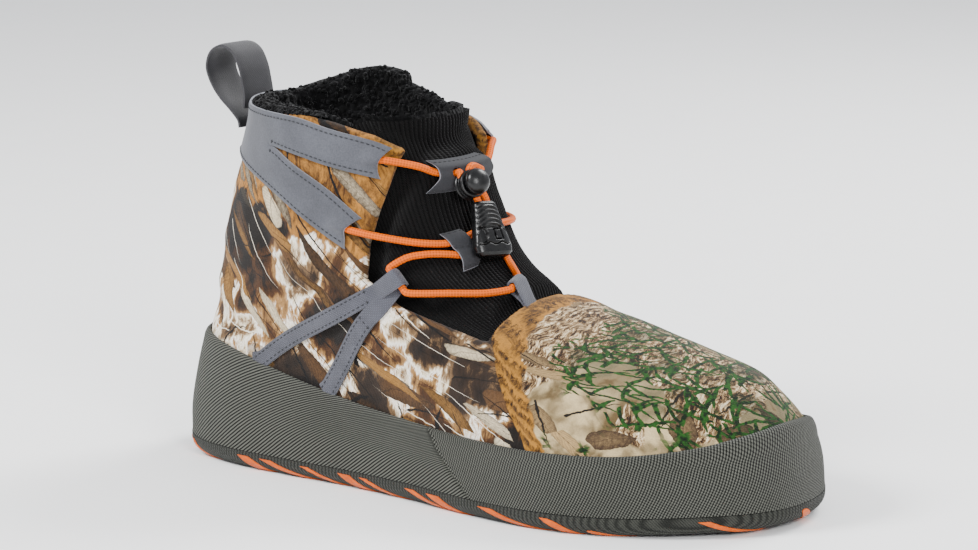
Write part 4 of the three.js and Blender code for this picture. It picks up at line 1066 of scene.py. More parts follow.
rim_faces = quads(*rim_grid[0].shape)
rim_base = rim_points(np.zeros(len(rim_turn)))
rim_lift = 0.0008 + 0.0005 * shell_noise(rim_base, 330.0, 5.0)
rim_lift *= 1 - edge_drop(from_rim(rim_base, rim_faces), 0.0016)
rim_outer, rim_inner = rim_points(rim_lift), rim_points(np.full(len(rim_turn), -0.0003))
layer("fleece_rim", rim_outer, rim_inner, rim_faces, fleece, "fleece", crease=80)
curls("rim_curls", rim_outer, rim_faces, 330000.0, 0.00075)

curly = [face[::-1] for face in faces if ring[face].min() > 9.4]
curly += [[v + len(inner) for v in face] for face in faces if ring[face].min() > 11.9]
curls("lining_curls", np.concatenate([inner, outer]), curly, 260000.0, 0.00085)

# Tongue: a black rib-knit gusset, sewn behind the wall all round the throat. It swells out
# through the throat, and its ribs run up the instep. It has the same fleece behind it.
knit_thickness, knit_inset = 0.003, 0.0012
tongue_foot, tongue_foot_middle = 5.6, 7.3
rib_pitch = 0.0021


def knit_out(turn, ring):
    """Depth of the knit: behind the wall at its edges, nearly flush with it in the throat."""
    depth = throat_depth(skin(turn, ring, -knit_inset).reshape(-1, 3)).reshape(np.shape(turn))
    flush = ease(0.0035, 0.010, depth)
    return (-wall - 4 * gap) * (1 - flush) - knit_inset * flush


def tongue_net(columns, rows, lift=0.0):
    turn = np.linspace(0.5 - tongue_half, 0.5 + tongue_half, columns)[None]
    middle = 1 - np.minimum(np.abs(turn - 0.5) / tongue_half, 1) ** 2
    bottom = tongue_foot * (1 - middle) + tongue_foot_middle * middle
    head = ease(0.1, 0.7, middle)
    top = tongue_top * (1 - head) + collar_ring * head + lift
    share = np.linspace(0, 1, rows)[:, None]
    return np.broadcast_arrays(turn, bottom * (1 - share) + top * share)


knit_look = {"Specular_IOR_Level": 0.1, "Sheen_Weight": 0.04, "Sheen_Roughness": 0.5}
rib_knit, start, shader = material("rib_knit", 0.92, **knit_look)
u, v, _ = cloth_of(start).parts()
wale = (u * (math.pi / rib_pitch)).sin()
course = (v * (2 * math.pi / 0.0011) + wale * 2.2).sin() * 0.5 + 0.5
fuzz = place_of(start).grain(1300.0, 3.0)
tone = (wale.absolute() * 0.6 + fuzz * 0.4).above(0.2, 0.95)
feed(shader, "Base Color", tone.blend(shade("#010101"), shade("#0c0b0b")))
relief(shader, course * 0.5 + fuzz * 0.6, 0.0004, 0.8)

turn, ring = tongue_net(561, 52)
knit_map = cloth_map(turn.ravel(), ring.ravel())
ribs = np.abs(np.sin(knit_map[:, 0].reshape(turn.shape) * math.pi / rib_pitch)) ** 0.7
knit_base = knit_out(turn, ring)
places = skin(turn, ring).reshape(-1, 3)
slack = (0.0009 * shell_noise(places, 55.0, 2.0)).reshape(turn.shape)
free = ease(-0.0052, -0.0016, knit_base)
outer = skin(turn, ring, knit_base + slack * free - 0.0006 + ribs * 0.0007)
inner = skin(turn, ring, knit_base - knit_thickness + slack * free)
faces = quads(*turn.shape)
layer("knit_tongue", outer, inner, faces, rib_knit, "rib_knit", knit_map, nodes=["tongue"], crease=75)

turn, ring = tongue_net(181, 70, 0.12)
ring = np.maximum(ring, 7.4)
back_out = knit_out(turn, ring) - knit_thickness
base = skin(turn, ring, back_out).reshape(-1, 3)
fluff = 0.0009 * shell_noise(base, 160.0) + 0.0007 * shell_noise(base, 330.0, 5.0)
outer = skin(turn, ring, back_out - 0.0001)
inner = skin(turn, ring, back_out - 0.0026 + fluff.reshape(turn.shape))
faces = quads(*turn.shape)
layer("tongue_fleece", outer, inner, faces, fleece, "fleece", crease=80)
high_faces = [face[::-1] for face in faces if ring.ravel()[face].min() > 10.0]
curls("tongue_curls", inner.reshape(-1, 3), high_faces, 240000.0, 0.0008)

# Collar overlay: a die-cut panel of grey synthetic nubuck round the heel with two arms on each
# side, like a V on its side. It is sewn down along its edges, and each arm's tip is left open
# as a sleeve for the cord.
overlay_thickness, overlay_lift, arm_hollow = 0.0012, 0.0007, 0.035
overlay_heel_bottom, overlay_heel_middle = 9.0, 10.6
# Edges of the arms: place from heel to tip, then along and up as shares of the shoe's half
# length and its collar height
overlay_bottom = [(0.20, -0.722, 0.822), (0.44, -0.546, 0.769), (0.70, -0.410, 0.704), (1.00, -0.267, 0.635)]
overlay_apex = [(0.20, -0.700, 0.895), (0.40, -0.551, 0.890)]
overlay_lower_top = [(0.58, -0.449, 0.847), (0.76, -0.343, 0.797), (1.00, -0.222, 0.719)]
overlay_upper_bottom = [(0.66, -0.419, 0.871), (0.78, -0.343, 0.855), (1.00, -0.176, 0.824)]
overlay_top = [
    (0.20, -0.690, 0.984), (0.46, -0.457, 0.977), (0.68, -0.324, 0.950), (0.88, -0.202, 0.923),
    (1.00, -0.157, 0.903)]
# Where the cords leave the arms' tips, and how high over the upper
mouth_out = 0.0021
arm_mouths = [(0.3745, 11.00), (0.3030, 9.21), (0.6240, 11.00), (0.6960, 9.21)]
cord_radius = 0.0015


def wrap(heel_ring, rows):
    """An edge round the heel through knots of the side view: place -1 to 1 gives turn and ring."""
    knots = [(0.0, 0.0, heel_ring)]
    for side in (-1, 1):
        for place, along, height in rows:
            turn, ring = spot(side, along * half_length, height * collar_height)
            knots.append((place * -side, turn[0] if side < 0 else turn[0] - 1, ring[0]))
    knots = np.array(sorted(knots))
    slopes = []
    for k in range(len(knots)):
        before, after = knots[max(k - 1, 0)], knots[min(k + 1, len(knots) - 1)]
        slopes.append((after[1:] - before[1:]) / (after[0] - before[0]))
    slopes = np.array(slopes)

    def edge(place):
        place = np.asarray(place, float)
        k = np.clip(np.searchsorted(knots[:, 0], place, side="left") - 1, 0, len(knots) - 2)
        span = knots[k + 1, 0] - knots[k, 0]
        t = ((place - knots[k, 0]) / span)[..., None]
        a, b = knots[k, 1:], knots[k + 1, 1:]
        p, q = slopes[k] * span[..., None], slopes[k + 1] * span[..., None]
        return a + t * (p + t * (3 * (b - a) - 2 * p - q + t * (p + q - 2 * (b - a))))

    return edge


bottom_edge, top_edge = wrap(overlay_heel_bottom, overlay_bottom), wrap(collar_ring, overlay_top)
lower_top_edge = wrap(overlay_heel_middle, overlay_apex + overlay_lower_top)
upper_bottom_edge = wrap(overlay_heel_middle, overlay_apex + overlay_upper_bottom)
overlay_apex_place = 0.40


def overlay_field(low, high, place, share):
    place, share = np.broadcast_arrays(np.asarray(place, float), np.asarray(share, float))
    hollow = arm_hollow * 4 * share * (1 - share) * ease(0.75, 1, np.abs(place))
    at = place - np.sign(place) * hollow
    return low(at) * (1 - share[..., None]) + high(at) * share[..., None]


def lower_field(place, share):
    inner = overlay_field(bottom_edge, upper_bottom_edge, place, share)
    arm = overlay_field(bottom_edge, lower_top_edge, place, share)
    return np.where((np.abs(place) <= overlay_apex_place + 1e-9)[..., None], inner, arm)


def upper_field(place, share):
    return overlay_field(upper_bottom_edge, top_edge, place, share)


def mouth_rise(points):
    """How far an arm's tip stands up over its cord."""
    rise = np.zeros(len(points))
    for turn, ring in arm_mouths:
        mouth = skin(turn, ring)
        inward = unit(skin(turn + (-0.02 if turn < 0.5 else 0.02), ring) - mouth)
        away = from_segment(points, mouth - inward * 0.004, mouth + inward * 0.011)
        inside = ease(0.003, 0.015, (points - mouth) @ inward)
        full = mouth_out + cord_radius + 0.0003 - overlay_lift
        rise = np.maximum(rise, full * bump(away, 0.0030) * (1 - inside))
    return rise


def nubuck(name, dark, light, sheen):
    look = {"Specular_IOR_Level": 0.35, "Sheen_Weight": sheen, "Sheen_Roughness": 0.4}
    made, start, shader = material(name, 0.78, **look)
    where = place_of(start)
    cloudy, suede = where.grain(38.0, 4.0), where.grain(1500.0, 3.0, 0.6)
    tone = (cloudy * 0.6 + suede * 0.4).above(0.25, 0.75)
    feed(shader, "Base Color", tone.blend(shade(dark), shade(light)))
    feed(shader, "Roughness", cloudy * 0.2 + 0.66)
    relief(shader, suede * 0.5 + where.grain(420.0, 3.0) * 0.7, 0.00016, 0.7)
    return made


overlay_fabric = nubuck("nubuck_overlay", "#36373d", "#53555c", 0.2)
cut_edge, start, shader = material("pale_cut_edge", 0.85)
paleness = place_of(start).grain(500.0, 2.0)
feed(shader, "Base Color", paleness.blend(shade("#63656c"), shade("#8a8b91")))


def plate(name, net_spots, faces, low, thickness, finish, nodes, bevel=0.0006, rise=0, drop=0.00035):
    """A closed layer on the upper, with its edges a little rounded down and pale where cut."""
    base = skin(*net_spots.T)
    sunk = drop * edge_drop(from_rim(base, faces), bevel)
    outer = skin(*net_spots.T, low + thickness + rise - sunk)
    inner = skin(*net_spots.T, low + rise)
    made = layer(name, outer, inner, faces, finish, "overlay", nodes=nodes, weld=1e-8, crease=42)
    made.data.materials.append(cut_edge)
    for polygon in made.data.polygons[2 * len(faces):]:
        polygon.material_index = 1


steps, across_steps = 300, 16
places_line, shares_line = np.linspace(-1, 1, steps + 1), np.linspace(0, 1, across_steps + 1)
net, faces, known = [], [], {}
for field in (lower_field, upper_field):
    at = field(places_line[:, None], shares_line[None])
    ids = np.zeros(at.shape[:2], int)
    for i in range(steps + 1):
        for k in range(across_steps + 1):
            key = (round(at[i, k, 0], 6), round(at[i, k, 1], 5))
            if key not in known:
                known[key] = len(net)
                net.append(at[i, k])
            ids[i, k] = known[key]
    for i in range(steps):
        for k in range(across_steps):
            faces.append([int(v) for v in (ids[i, k], ids[i + 1, k], ids[i + 1, k + 1], ids[i, k + 1])])
net = np.array(net)
overlay_rise = mouth_rise(skin(*net.T))
plate(
    "overlay_panel", net, faces, overlay_lift, overlay_thickness, overlay_fabric, ["collar_overlay"],
    rise=overlay_rise)

thread_lift, row_inset, fork_inset = 0.00012, 0.0021, 0.0019
fork_place, row_end = 0.42, 0.975


def overlay_row(field, from_low, inset, start_place, end_place):
    """A sewn row beside an edge of the overlay, a set distance inside it."""
    place = np.linspace(start_place, end_place, 160)
    low, high = field(place, np.zeros(160)), field(place, np.ones(160))
    width = np.linalg.norm(skin(*low.T) - skin(*high.T), axis=1)
    share = np.clip(inset / np.maximum(width, 1e-6), 0, 0.5)
    turn, ring = field(place, share if from_low else 1 - share).T
    out = overlay_lift + overlay_thickness + thread_lift
    return skin(turn, ring, out + mouth_rise(skin(turn, ring)))


overlay_rows = [
    overlay_row(lower_field, True, row_inset, -row_end, row_end),
    overlay_row(upper_field, False, row_inset, -row_end, row_end)]
fork_root = np.linspace(0, 1, 12)[:, None]
for side in (-1, 1):
    fork_rows = [
        overlay_row(field, from_low, fork_inset, side * fork_place, side * row_end)
        for field, from_low in ((lower_field, False), (upper_field, True))]
    overlay_rows += fork_rows + [fork_rows[0][0] * (1 - fork_root) + fork_rows[1][0] * fork_root]
stitches("overlay_stitches", overlay_rows, dark_thread, 0.0024, 0.0018, 0.00026)

# Straps: grey webbing. On the lateral side one length runs from the rand up to the lacing, is
# folded round the cord as a loop, and runs down again. On the medial side a short folded loop
# comes out from under the vamp's edge.


def webbing_look(name, roughness, look, pitch, ribs, share, cloudy, dark, light, depth, strength):
    """Woven webbing, ribbed across, a little cloudy in tone."""
    made, start, shader = material(name, roughness, **look)
    u, v, _ = cloth_of(start).parts()
    ridges = weave(v, u, pitch, ribs)
    tone = (ridges * share + place_of(start).grain(cloudy, 3.0) * (1 - share)).above(0.2, 0.8)
    feed(shader, "Base Color", tone.blend(shade(dark), shade(light)))
    relief(shader, ridges, depth, strength)
    return made


webbing = webbing_look(
    "grey_webbing", 0.82, {"Specular_IOR_Level": 0.3, "Sheen_Weight": 0.2},
    0.0007, 0.5, 0.5, 120.0, "#2c2d33", "#4b4c55", 0.00022, 0.7)


def smooth_path(knots, step):
    """A smooth path through knots, in even steps."""
    knots = np.array(knots, float)
    place = np.linspace(0, len(knots) - 1, 40 * len(knots))
    dense = np.stack([through(column, place) for column in knots.T], -1)
    length = lengths(dense[:, :3])
    at = np.linspace(0, length[-1], max(int(length[-1] / step), 4))
    return np.stack([np.interp(at, length, column) for column in dense.T], -1)


def band(name, centres, sides, widths, thickness, finish, nodes):
    """Flat webbing along a path of centres, each with its own sideways direction."""
    along = unit(np.gradient(centres, axis=0))
    sides = unit(sides - along * np.sum(sides * along, axis=1, keepdims=True))
    faces_up = np.cross(along, sides)
    shares = np.linspace(-1, 1, 11)
    half = shares[None] * widths[:, None] / 2
    thin = thickness / 2 * (1 - 0.45 * np.abs(shares) ** 8)
    across_points = centres[:, None] + sides[:, None] * half[..., None]
    outer = across_points + faces_up[:, None] * thin[None, :, None]
    inner = across_points - faces_up[:, None] * thin[None, :, None]
    uv = np.stack(np.broadcast_arrays(half, lengths(centres)[:, None]), -1).reshape(-1, 2)
    layer(name, outer, inner, quads(*half.shape), finish, "webbing", uv, nodes=nodes, crease=50)


strap_size = (half_length, collar_height)
strap_rear = np.array([(-0.600, 0.283), (-0.455, 0.378), (-0.241, 0.482), (-0.096, 0.562)]) * strap_size
strap_front = np.array([(-0.330, 0.236), (-0.262, 0.330), (-0.180, 0.442), (-0.086, 0.545)]) * strap_size
loop_lateral = [(0.3320, 7.98, 0.0026), (0.3318, 8.42, 0.0026)]
loop_medial = [(0.4625, 8.20, 0.0022), (0.4825, 8.37, 0.0022)]
web_thickness, web_lift, web_stitch_lift = 0.0011, 0.0005, 0.0001
rear_width, fold_width, front_width, medial_width = 0.0075, 0.0080, 0.0085, 0.0078
loop_radius = cord_radius + 0.0003 + web_thickness / 2


def loop_frame(loop):
    first, last = [skin(*row) for row in loop]
    centre, axis = (first + last) / 2, unit(last - first)
    out = normal((loop[0][0] + loop[1][0]) / 2, (loop[0][1] + loop[1][1]) / 2)
    return centre, axis, unit(out - axis * (out @ axis))


def fold(centre, ahead, out, degrees):
    """Knots of a webbing's fold round the cord."""
    return [centre + loop_radius * (math.cos(a) * ahead + math.sin(a) * out) for a in np.radians(degrees)]


def strap_side(line, share_stop, out, count):
    place = np.linspace(0, share_stop * (len(line) - 1), count)
    turn, ring = spot(-1, through(line[:, 0], place), through(line[:, 1], place))
    ring = np.maximum(ring, rand_top - 0.06)
    path = skin(turn, ring, out)
    return path, unit(np.cross(normal(turn, ring), np.gradient(path, axis=0)))


centre, axis, out = loop_frame(loop_lateral)
ahead = np.cross(axis, out)
if ahead[0] < 0:
    ahead = -ahead
web_out = web_lift + web_thickness / 2
rear_path, rear_side = strap_side(strap_rear, 0.87, web_out, 12)
front_path, front_side = strap_side(strap_front, 0.84, web_out, 10)
arc = fold(centre, ahead, out, [95, 55, 15, -25, -60])
path = np.concatenate([rear_path, arc, front_path[::-1]])
aligned = [side * np.sign(side @ axis) for side in (*rear_side, *[axis] * len(arc), *front_side[::-1])]
widths = np.repeat([rear_width, fold_width, front_width], [len(rear_path), len(arc), len(front_path)])
strap = smooth_path(np.column_stack([path, aligned, widths]), 0.0009)
band("lateral_strap", strap[:, :3], strap[:, 3:6], strap[:, 6], web_thickness, webbing, ["strap_lateral"])


def strap_rows(line, share_stop, width):
    """Rows of stitches beside a leg's edges and a bar of them across its top."""
    path, side = strap_side(line, share_stop, web_lift + web_thickness + web_stitch_lift, 60)
    reach = width / 2 - 0.0014
    ends = [path[-1] + side[-1] * reach * share for share in np.linspace(-1, 1, 6)]
    return [(path + side * reach)[4:], (path - side * reach)[4:], np.array(ends)]


strap_seams = strap_rows(strap_rear, 0.80, rear_width) + strap_rows(strap_front, 0.70, front_width)
stitches("strap_stitches", strap_seams, dark_thread, 0.0024, 0.0015, 0.00022)

centre, axis, out = loop_frame(loop_medial)
above = np.cross(out, axis)
if (skin(0.4725, 8.6) - skin(0.4725, 8.0)) @ above < 0:
    above = -above
lead = [skin(0.4650, 7.62, -0.0030), skin(0.4662, 7.80, -0.0004), skin(0.4680, 7.96, 0.0018)]
tail = [skin(0.4700, 8.08, 0.0000), skin(0.4680, 7.90, -0.0008), skin(0.4660, 7.66, -0.0042)]
path = np.array([*lead, *fold(centre, above, out, [110, 60, 15, -30, -75]), *tail])
sides, widths = np.tile(axis, (len(path), 1)), np.full(len(path), medial_width)
loop = smooth_path(np.column_stack([path, sides, widths]), 0.0006)
band("medial_loop", loop[:, :3], loop[:, 3:6], loop[:, 6], web_thickness, webbing, ["loop_medial"])

# Pull loop: a broad loop of smooth grey webbing sewn to the heel of the collar, both legs
# outside it. Its webbing is coloured far darker than grey, as painted shade.
pull_path = np.array([
    (-122.8, 138.0), (-123.6, 141.3), (-127.9, 145.6), (-133.6, 150.4), (-138.2, 156.2), (-140.7, 163.0),
    (-138.2, 169.5), (-132.0, 172.4), (-126.0, 170.0), (-122.4, 164.0), (-120.7, 157.5), (-119.7, 151.5),
    (-120.2, 146.5),
]) / 1000
pull_width, pull_shift, pull_thickness = 0.0185, -0.0035, 0.0018
pull_x, pull_z = pull_path.T
pull = smooth_path(np.column_stack([pull_x, np.full(len(pull_path), pull_shift), pull_z]), 0.0011)
# Colours much darker than the grey webbing's own: painted shade on the pull loop
pull_webbing_painted_shade = webbing_look(
    "pull_webbing_painted_shade", 0.7, {"Specular_IOR_Level": 0.35, "Sheen_Weight": 0.15},
    0.0006, 0.6, 0.4, 80.0, "#121114", "#242327", 0.00016, 0.6)
sides, widths = np.tile((0.0, 1.0, 0.0), (len(pull), 1)), np.full(len(pull), pull_width)
band("pull_loop_webbing", pull, sides, widths, pull_thickness, pull_webbing_painted_shade, ["pull_loop"])

# Tabs: two patches of the overlay's nubuck on the tongue, sewn at their edges and arched over
# the cords that pass under them. Their nubuck is coloured darker than the overlay's, as painted
# shade. The upper one has two punched holes for the cord ends.
knit_lift = gap - knit_inset
tab_thickness = 0.0011
# left turn, left ring, right turn, right ring, rise in millimetres
tab_upper = np.array([
    (0.4205, 10.38, 0.5110, 10.50, 0.0), (0.4300, 10.52, 0.5230, 10.62, 2.2),
    (0.4385, 10.67, 0.5285, 10.74, 3.6), (0.4400, 10.80, 0.5285, 10.86, 3.6),
    (0.4375, 10.92, 0.5240, 10.98, 3.2), (0.4310, 11.07, 0.5125, 11.14, 0.0)])
tab_lower = np.array([
    (0.4315, 8.87, 0.4560, 9.00, 0.0), (0.4335, 9.04, 0.4600, 9.11, 2.6),
    (0.4325, 9.20, 0.4605, 9.23, 3.6), (0.4295, 9.30, 0.4580, 9.36, 3.3),
    (0.4270, 9.42, 0.4555, 9.51, 3.6), (0.4250, 9.51, 0.4540, 9.61, 2.6),
    (0.4235, 9.61, 0.4530, 9.71, 0.0)])
tab_holes = [(0.4635, 10.77), (0.4957, 10.80)]


def tab_at(rows, across_share, up_share):
    place = up_share * (len(rows) - 1)
    left_turn, left_ring, right_turn, right_ring, rise = [through(rows[:, k], place) for k in range(5)]
    turn = left_turn * (1 - across_share) + right_turn * across_share
    ring = left_ring * (1 - across_share) + right_ring * across_share
    return turn, ring, np.maximum(rise, 0) / 1000


# The overlay's nubuck in darker colours: painted shade on the tabs
tab_nubuck_painted_shade = nubuck("tab_nubuck_painted_shade", "#19191c", "#2e2f33", 0.05)


def tab(name, rows, columns, steps, nodes, holes=()):
    across_share, up_share = np.meshgrid(np.linspace(0, 1, columns), np.linspace(0, 1, steps))
    spots = np.stack([v.ravel() for v in tab_at(rows, across_share, up_share)], -1)
    base = skin(*spots[:, :2].T)
    keep = np.full(len(base), 1.0)
    for hole in holes:
        keep = np.minimum(keep, np.linalg.norm(base - skin(*hole), axis=1) - cord_radius - 0.0005)
    spots, faces = clipped(spots, quads(*across_share.shape), keep)
    low = knit_lift + spots[:, 2]
    plate(name, spots[:, :2], faces, low, tab_thickness, tab_nubuck_painted_shade, nodes, bevel=0.0005, drop=0.0003)


def tab_row(rows, up_share):
    across_share = np.linspace(0.06, 0.94, 40)
    turn, ring, rise = tab_at(rows, across_share, np.full(40, up_share))
    return skin(turn, ring, knit_lift + rise + tab_thickness + 0.0001)


tab("upper_tab", tab_upper, 64, 48, ["tab_upper"], tab_holes)
tab("lower_tab", tab_lower, 26, 52, ["tab_lower"])
tab_rows = [tab_row(tab_upper, share) for share in (0.06, 0.91)]
tab_rows += [tab_row(tab_lower, share) for share in (0.05, 0.5, 0.95)]
stitches("tab_stitches", tab_rows, dark_thread, 0.0023, 0.0017, 0.00024)

# Laces: round elastic cord in a braided orange cover. One length runs from the upper arms under
# the tab; one crosses between the lower arms; a closed ring runs through both webbing loops.

# Knots by turn, ring and height over the upper in millimetres
lace_top_lateral = [
    (0.3745, 11.00, 2.1), (0.4141, 10.93, 1.3), (0.4368, 10.82, 0.7), (0.4500, 10.79, 0.6),
    (0.4560, 10.78, 0.6)]
lace_top_medial = [
    (0.6240, 11.00, 2.1), (0.5900, 11.14, 1.6), (0.5620, 11.12, 1.2), (0.5440, 10.98, 0.8),
    (0.5290, 10.86, 0.6), (0.5110, 10.81, 0.6), (0.5050, 10.80, 0.6)]
lace_middle = [
    (0.3030, 9.21, 2.1), (0.3356, 9.28, 2.1), (0.3848, 9.36, 1.2), (0.4235, 9.42, 0.6), (0.4500, 9.51, 0.6),
    (0.4700, 9.61, 0.6), (0.5000, 9.70, 0.6), (0.5500, 9.64, 0.8), (0.6100, 9.45, 1.4), (0.6550, 9.30, 2.1),
    (0.6960, 9.21, 2.1)]
lace_lower = [
    (0.3350, 8.56, 2.4), (0.3641, 8.96, 1.4), (0.3929, 9.15, 0.8), (0.4184, 9.21, 0.6), (0.4458, 9.20, 0.6),
    (0.4720, 9.22, 0.6), (0.4900, 9.24, 0.6), (0.5010, 9.14, 0.7), (0.4995, 8.90, 0.9), (0.4921, 8.63, 1.4),
    (0.4855, 8.47, 2.0)]
lace_bar = [
    (0.3335, 7.86, 2.5), (0.3538, 8.00, 1.5), (0.3858, 8.17, 0.8), (0.4228, 8.22, 0.6), (0.4409, 8.20, 1.0),
    (0.4585, 8.17, 1.9)]

orange_cord, start, shader = material("orange_braid", 0.6, Specular_IOR_Level=0.15)
u, v, _ = cloth_of(start).parts()
left_hand = (u * (2 * math.pi * 4) + v * (2 * math.pi / 0.0024)).sin()
right_hand = (u * (2 * math.pi * 4) - v * (2 * math.pi / 0.0024)).sin()
plait = left_hand * right_hand * 0.5 + 0.5
feed(shader, "Base Color", plait.above(0.1, 0.7).blend((0.38, 0.060, 0.0, 1), (0.66, 0.110, 0.0, 1)))
feed(shader, "Roughness", plait * 0.15 + 0.45)
relief(shader, plait, 0.00012, 0.6)


def tube(name, path, nodes, closed=False, sides=20):
    """A round cord along a path, with a map of its turns and length."""
    path = np.asarray(path, float)
    if closed:
        along = unit(np.roll(path, -1, axis=0) - np.roll(path, 1, axis=0))
    else:
        along = unit(np.gradient(path, axis=0))
    ray = np.cross(along[0], (0.3, 0.2, 0.93))
    rays = []
    for direction in along:
        ray = unit(ray - direction * (ray @ direction))
        rays.append(ray)
    rays = np.array(rays)
    if closed:
        last = unit(rays[-1] - along[0] * (rays[-1] @ along[0]))
        twist = math.atan2(np.cross(last, rays[0]) @ along[0], last @ rays[0])
        angles = (twist * np.arange(len(path)) / len(path))[:, None]
        rays = rays * np.cos(angles) + np.cross(along, rays) * np.sin(angles)
        path, along, rays = [np.concatenate([a, a[:1]]) for a in (path, along, rays)]
    length = lengths(path)
    angle = np.linspace(0, 2 * math.pi, sides + 1)
    turned = rays[:, None] * np.cos(angle)[None, :, None]
    turned = turned + np.cross(along, rays)[:, None] * np.sin(angle)[None, :, None]
    ring_points = path[:, None] + cord_radius * turned
    uv = np.stack(np.broadcast_arrays(angle[None] / (2 * math.pi), length[:, None]), -1).reshape(-1, 2)
    points, faces = ring_points.reshape(-1, 3), quads(*ring_points.shape[:2])
    if not closed:
        count, last = len(points), len(points) - sides - 1
        ends = along[[0, -1]] * cord_radius * 0.4
        points = np.concatenate([points, [path[0] - ends[0], path[-1] + ends[1]]])
        uv = np.concatenate([uv, [(0.5, 0.0), (0.5, length[-1])]])
        faces += [[count, k + 1, k] for k in range(sides)]
        faces += [[count + 1, last + k, last + k + 1] for k in range(sides)]
    return finished(name, points, faces, orange_cord, "lace", uv=uv, nodes=nodes, crease=80)


def lace_knots(rows):
    return [skin(turn, ring, out / 1000) for turn, ring, out in rows]


def into_arm(rows):
    """Knots of a lace's end as it goes on inside an arm's sleeve."""
    turn, ring, out = rows
    way = -0.0075 if turn < 0.5 else 0.0075
    return [skin(turn + way * k, ring, (out - 0.25 * k) / 1000) for k in (3, 2, 1)]


lace_step = 0.0007
for side, rows in (("lateral", lace_top_lateral), ("medial", lace_top_medial)):
    path = smooth_path(into_arm(rows[0]) + lace_knots(rows), lace_step)
    tube(f"upper_lace_{side}", path, [f"lace_top_{side}"])
crossing = into_arm(lace_middle[0]) + lace_knots(lace_middle) + into_arm(lace_middle[-1])[::-1]
tube("crossing_lace", smooth_path(crossing, lace_step), ["lace_middle"])
ring_knots = lace_knots(lace_lower) + [skin(*loop_medial[1]), skin(*loop_medial[0])]
ring_knots += lace_knots(lace_bar)[::-1] + [skin(*loop_lateral[0]), skin(*loop_lateral[1])]
wrapped = smooth_path(ring_knots[-3:] + ring_knots + ring_knots[:3], lace_step)
from_start = np.linalg.norm(wrapped - ring_knots[0], axis=1)
quarter = len(wrapped) // 4
start_at = np.argmin(from_start[:quarter])
end_at = len(wrapped) - 1 - np.argmin(from_start[::-1][:quarter])
tube("lace_ring", wrapped[start_at:end_at], ["lace_lower", "lace_bar"], closed=True)

# Cord ends: the lace's two ends come up through the tab's holes, pass side by side through the
# cord lock, and end in the moulded grip.
tail_rows = {
    "lateral": (
        [(0.4550, 10.78, 0.6), (0.4618, 10.77, 1.4), (0.4640, 10.77, 3.3), (0.4645, 10.76, 5.0)],
        [(-0.86, -15.4, 125.8), (2.40, -12.6, 120.3), (3.70, -11.0, 116.9), (8.90, -13.1, 104.3)]),
    "medial": (
        [(0.5055, 10.80, 0.6), (0.4980, 10.79, 1.4), (0.4957, 10.80, 3.3), (0.4945, 10.78, 5.4)],
        [(-1.4, -7.2, 130.8), (-0.8, -10.4, 130.4), (0.0, -11.5, 128.0), (2.84, -9.2, 122.2),
         (4.80, -7.1, 116.8), (10.00, -9.2, 104.2)]),
}
tail_paths, tails = [], []
for side, (on_upper, free) in tail_rows.items():
    knots = lace_knots(on_upper) + [np.array(point) / 1000 for point in free]
    tail_paths.append(smooth_path(knots, lace_step))
    tails.append(tube(f"cord_end_{side}", tail_paths[-1], [f"lace_tail_{side}"]))

# Cord lock: a moulded black drum with a sprung dome button. Both cords pass through it, and
# pressing the button lets them slide.
black_plastic, start, shader = material("black_plastic", 0.32, Specular_IOR_Level=0.35)
where = place_of(start)
feed(shader, "Base Color", where.grain(300.0, 3.0).blend(shade("#030303"), shade("#0a0a0b")))
feed(shader, "Roughness", where.grain(500.0, 3.0).above(0.3, 0.7) * 0.14 + 0.26)
relief(shader, where.grain(2400.0, 2.0), 0.00003, 0.5)
lock_base = np.array((-1.2, -11.5, 123.1)) / 1000
lock_axis = unit(np.array((0.877, -0.319, 0.359)))
# The lock's own sizes are in millimetres
lock_radius, lock_height, post_radius, post_height = 5.9, 5.0, 3.0, 9.0
button_radius, button_travel, button_dome = 5.4, 1.4, 3.2


def faces_out(piece):
    work = bmesh.new()
    work.from_mesh(piece.data)
    bmesh.ops.recalc_face_normals(work, faces=work.faces)
    work.to_mesh(piece.data)
    work.free()


def turned(name, profile, nodes, body):
    """A turned piece about the lock's axis from millimetre radii and heights."""
    profile = np.array(profile, float) / 1000
    first = unit(np.cross(lock_axis, (0, 0, 1)))
    second = np.cross(lock_axis, first)
    angle = np.linspace(0, 2 * math.pi, 65)
    ray = np.cos(angle)[:, None] * first + np.sin(angle)[:, None] * second
    points = lock_base + profile[:, 0, None, None] * ray[None] + profile[:, 1, None, None] * lock_axis
    faces = [face[::-1] for face in quads(*points.shape[:2])]
    faces_out(finished(
        name, points.reshape(-1, 3), faces, black_plastic, "black_plastic",
        nodes=nodes, body=body, weld=2e-6, crease=35))


def arc_of(centre_radius, centre_height, radius, start_degrees, end_degrees, count):
    angles = np.radians(np.linspace(start_degrees, end_degrees, count))
    return [(centre_radius + radius * math.cos(a), centre_height + radius * math.sin(a)) for a in angles]


drum = [(0, 0), (lock_radius - 0.2, 0)] + arc_of(lock_radius - 0.1, 0.5, 0.5, -90, 60, 6)
drum += [(lock_radius, 1.25), (lock_radius, 2.2)] + arc_of(lock_radius - 0.25, 2.5, 0.3, -60, 60, 4)
drum += [(lock_radius, 2.9), (lock_radius, lock_height - 0.7)]
drum += arc_of(lock_radius - 0.7, lock_height - 0.7, 0.7, 0, 90, 6)
drum += [(post_radius + 0.4, lock_height), (post_radius, lock_height + 0.1)]
drum += [(post_radius, post_height), (0, post_height)]
turned("lock_drum", drum, ["cord_lock"], "boot")
button_under, button_roof = lock_height + button_travel + 0.3, post_height + button_travel + 0.3
shoulder = button_roof + 1 - button_dome
button = [(0, button_roof), (post_radius + 0.3, button_roof), (post_radius + 0.3, button_under)]
button += [(button_radius - 0.5, button_under)]
button += arc_of(button_radius - 0.4, button_under + 0.4, 0.4, -90, 0, 5)
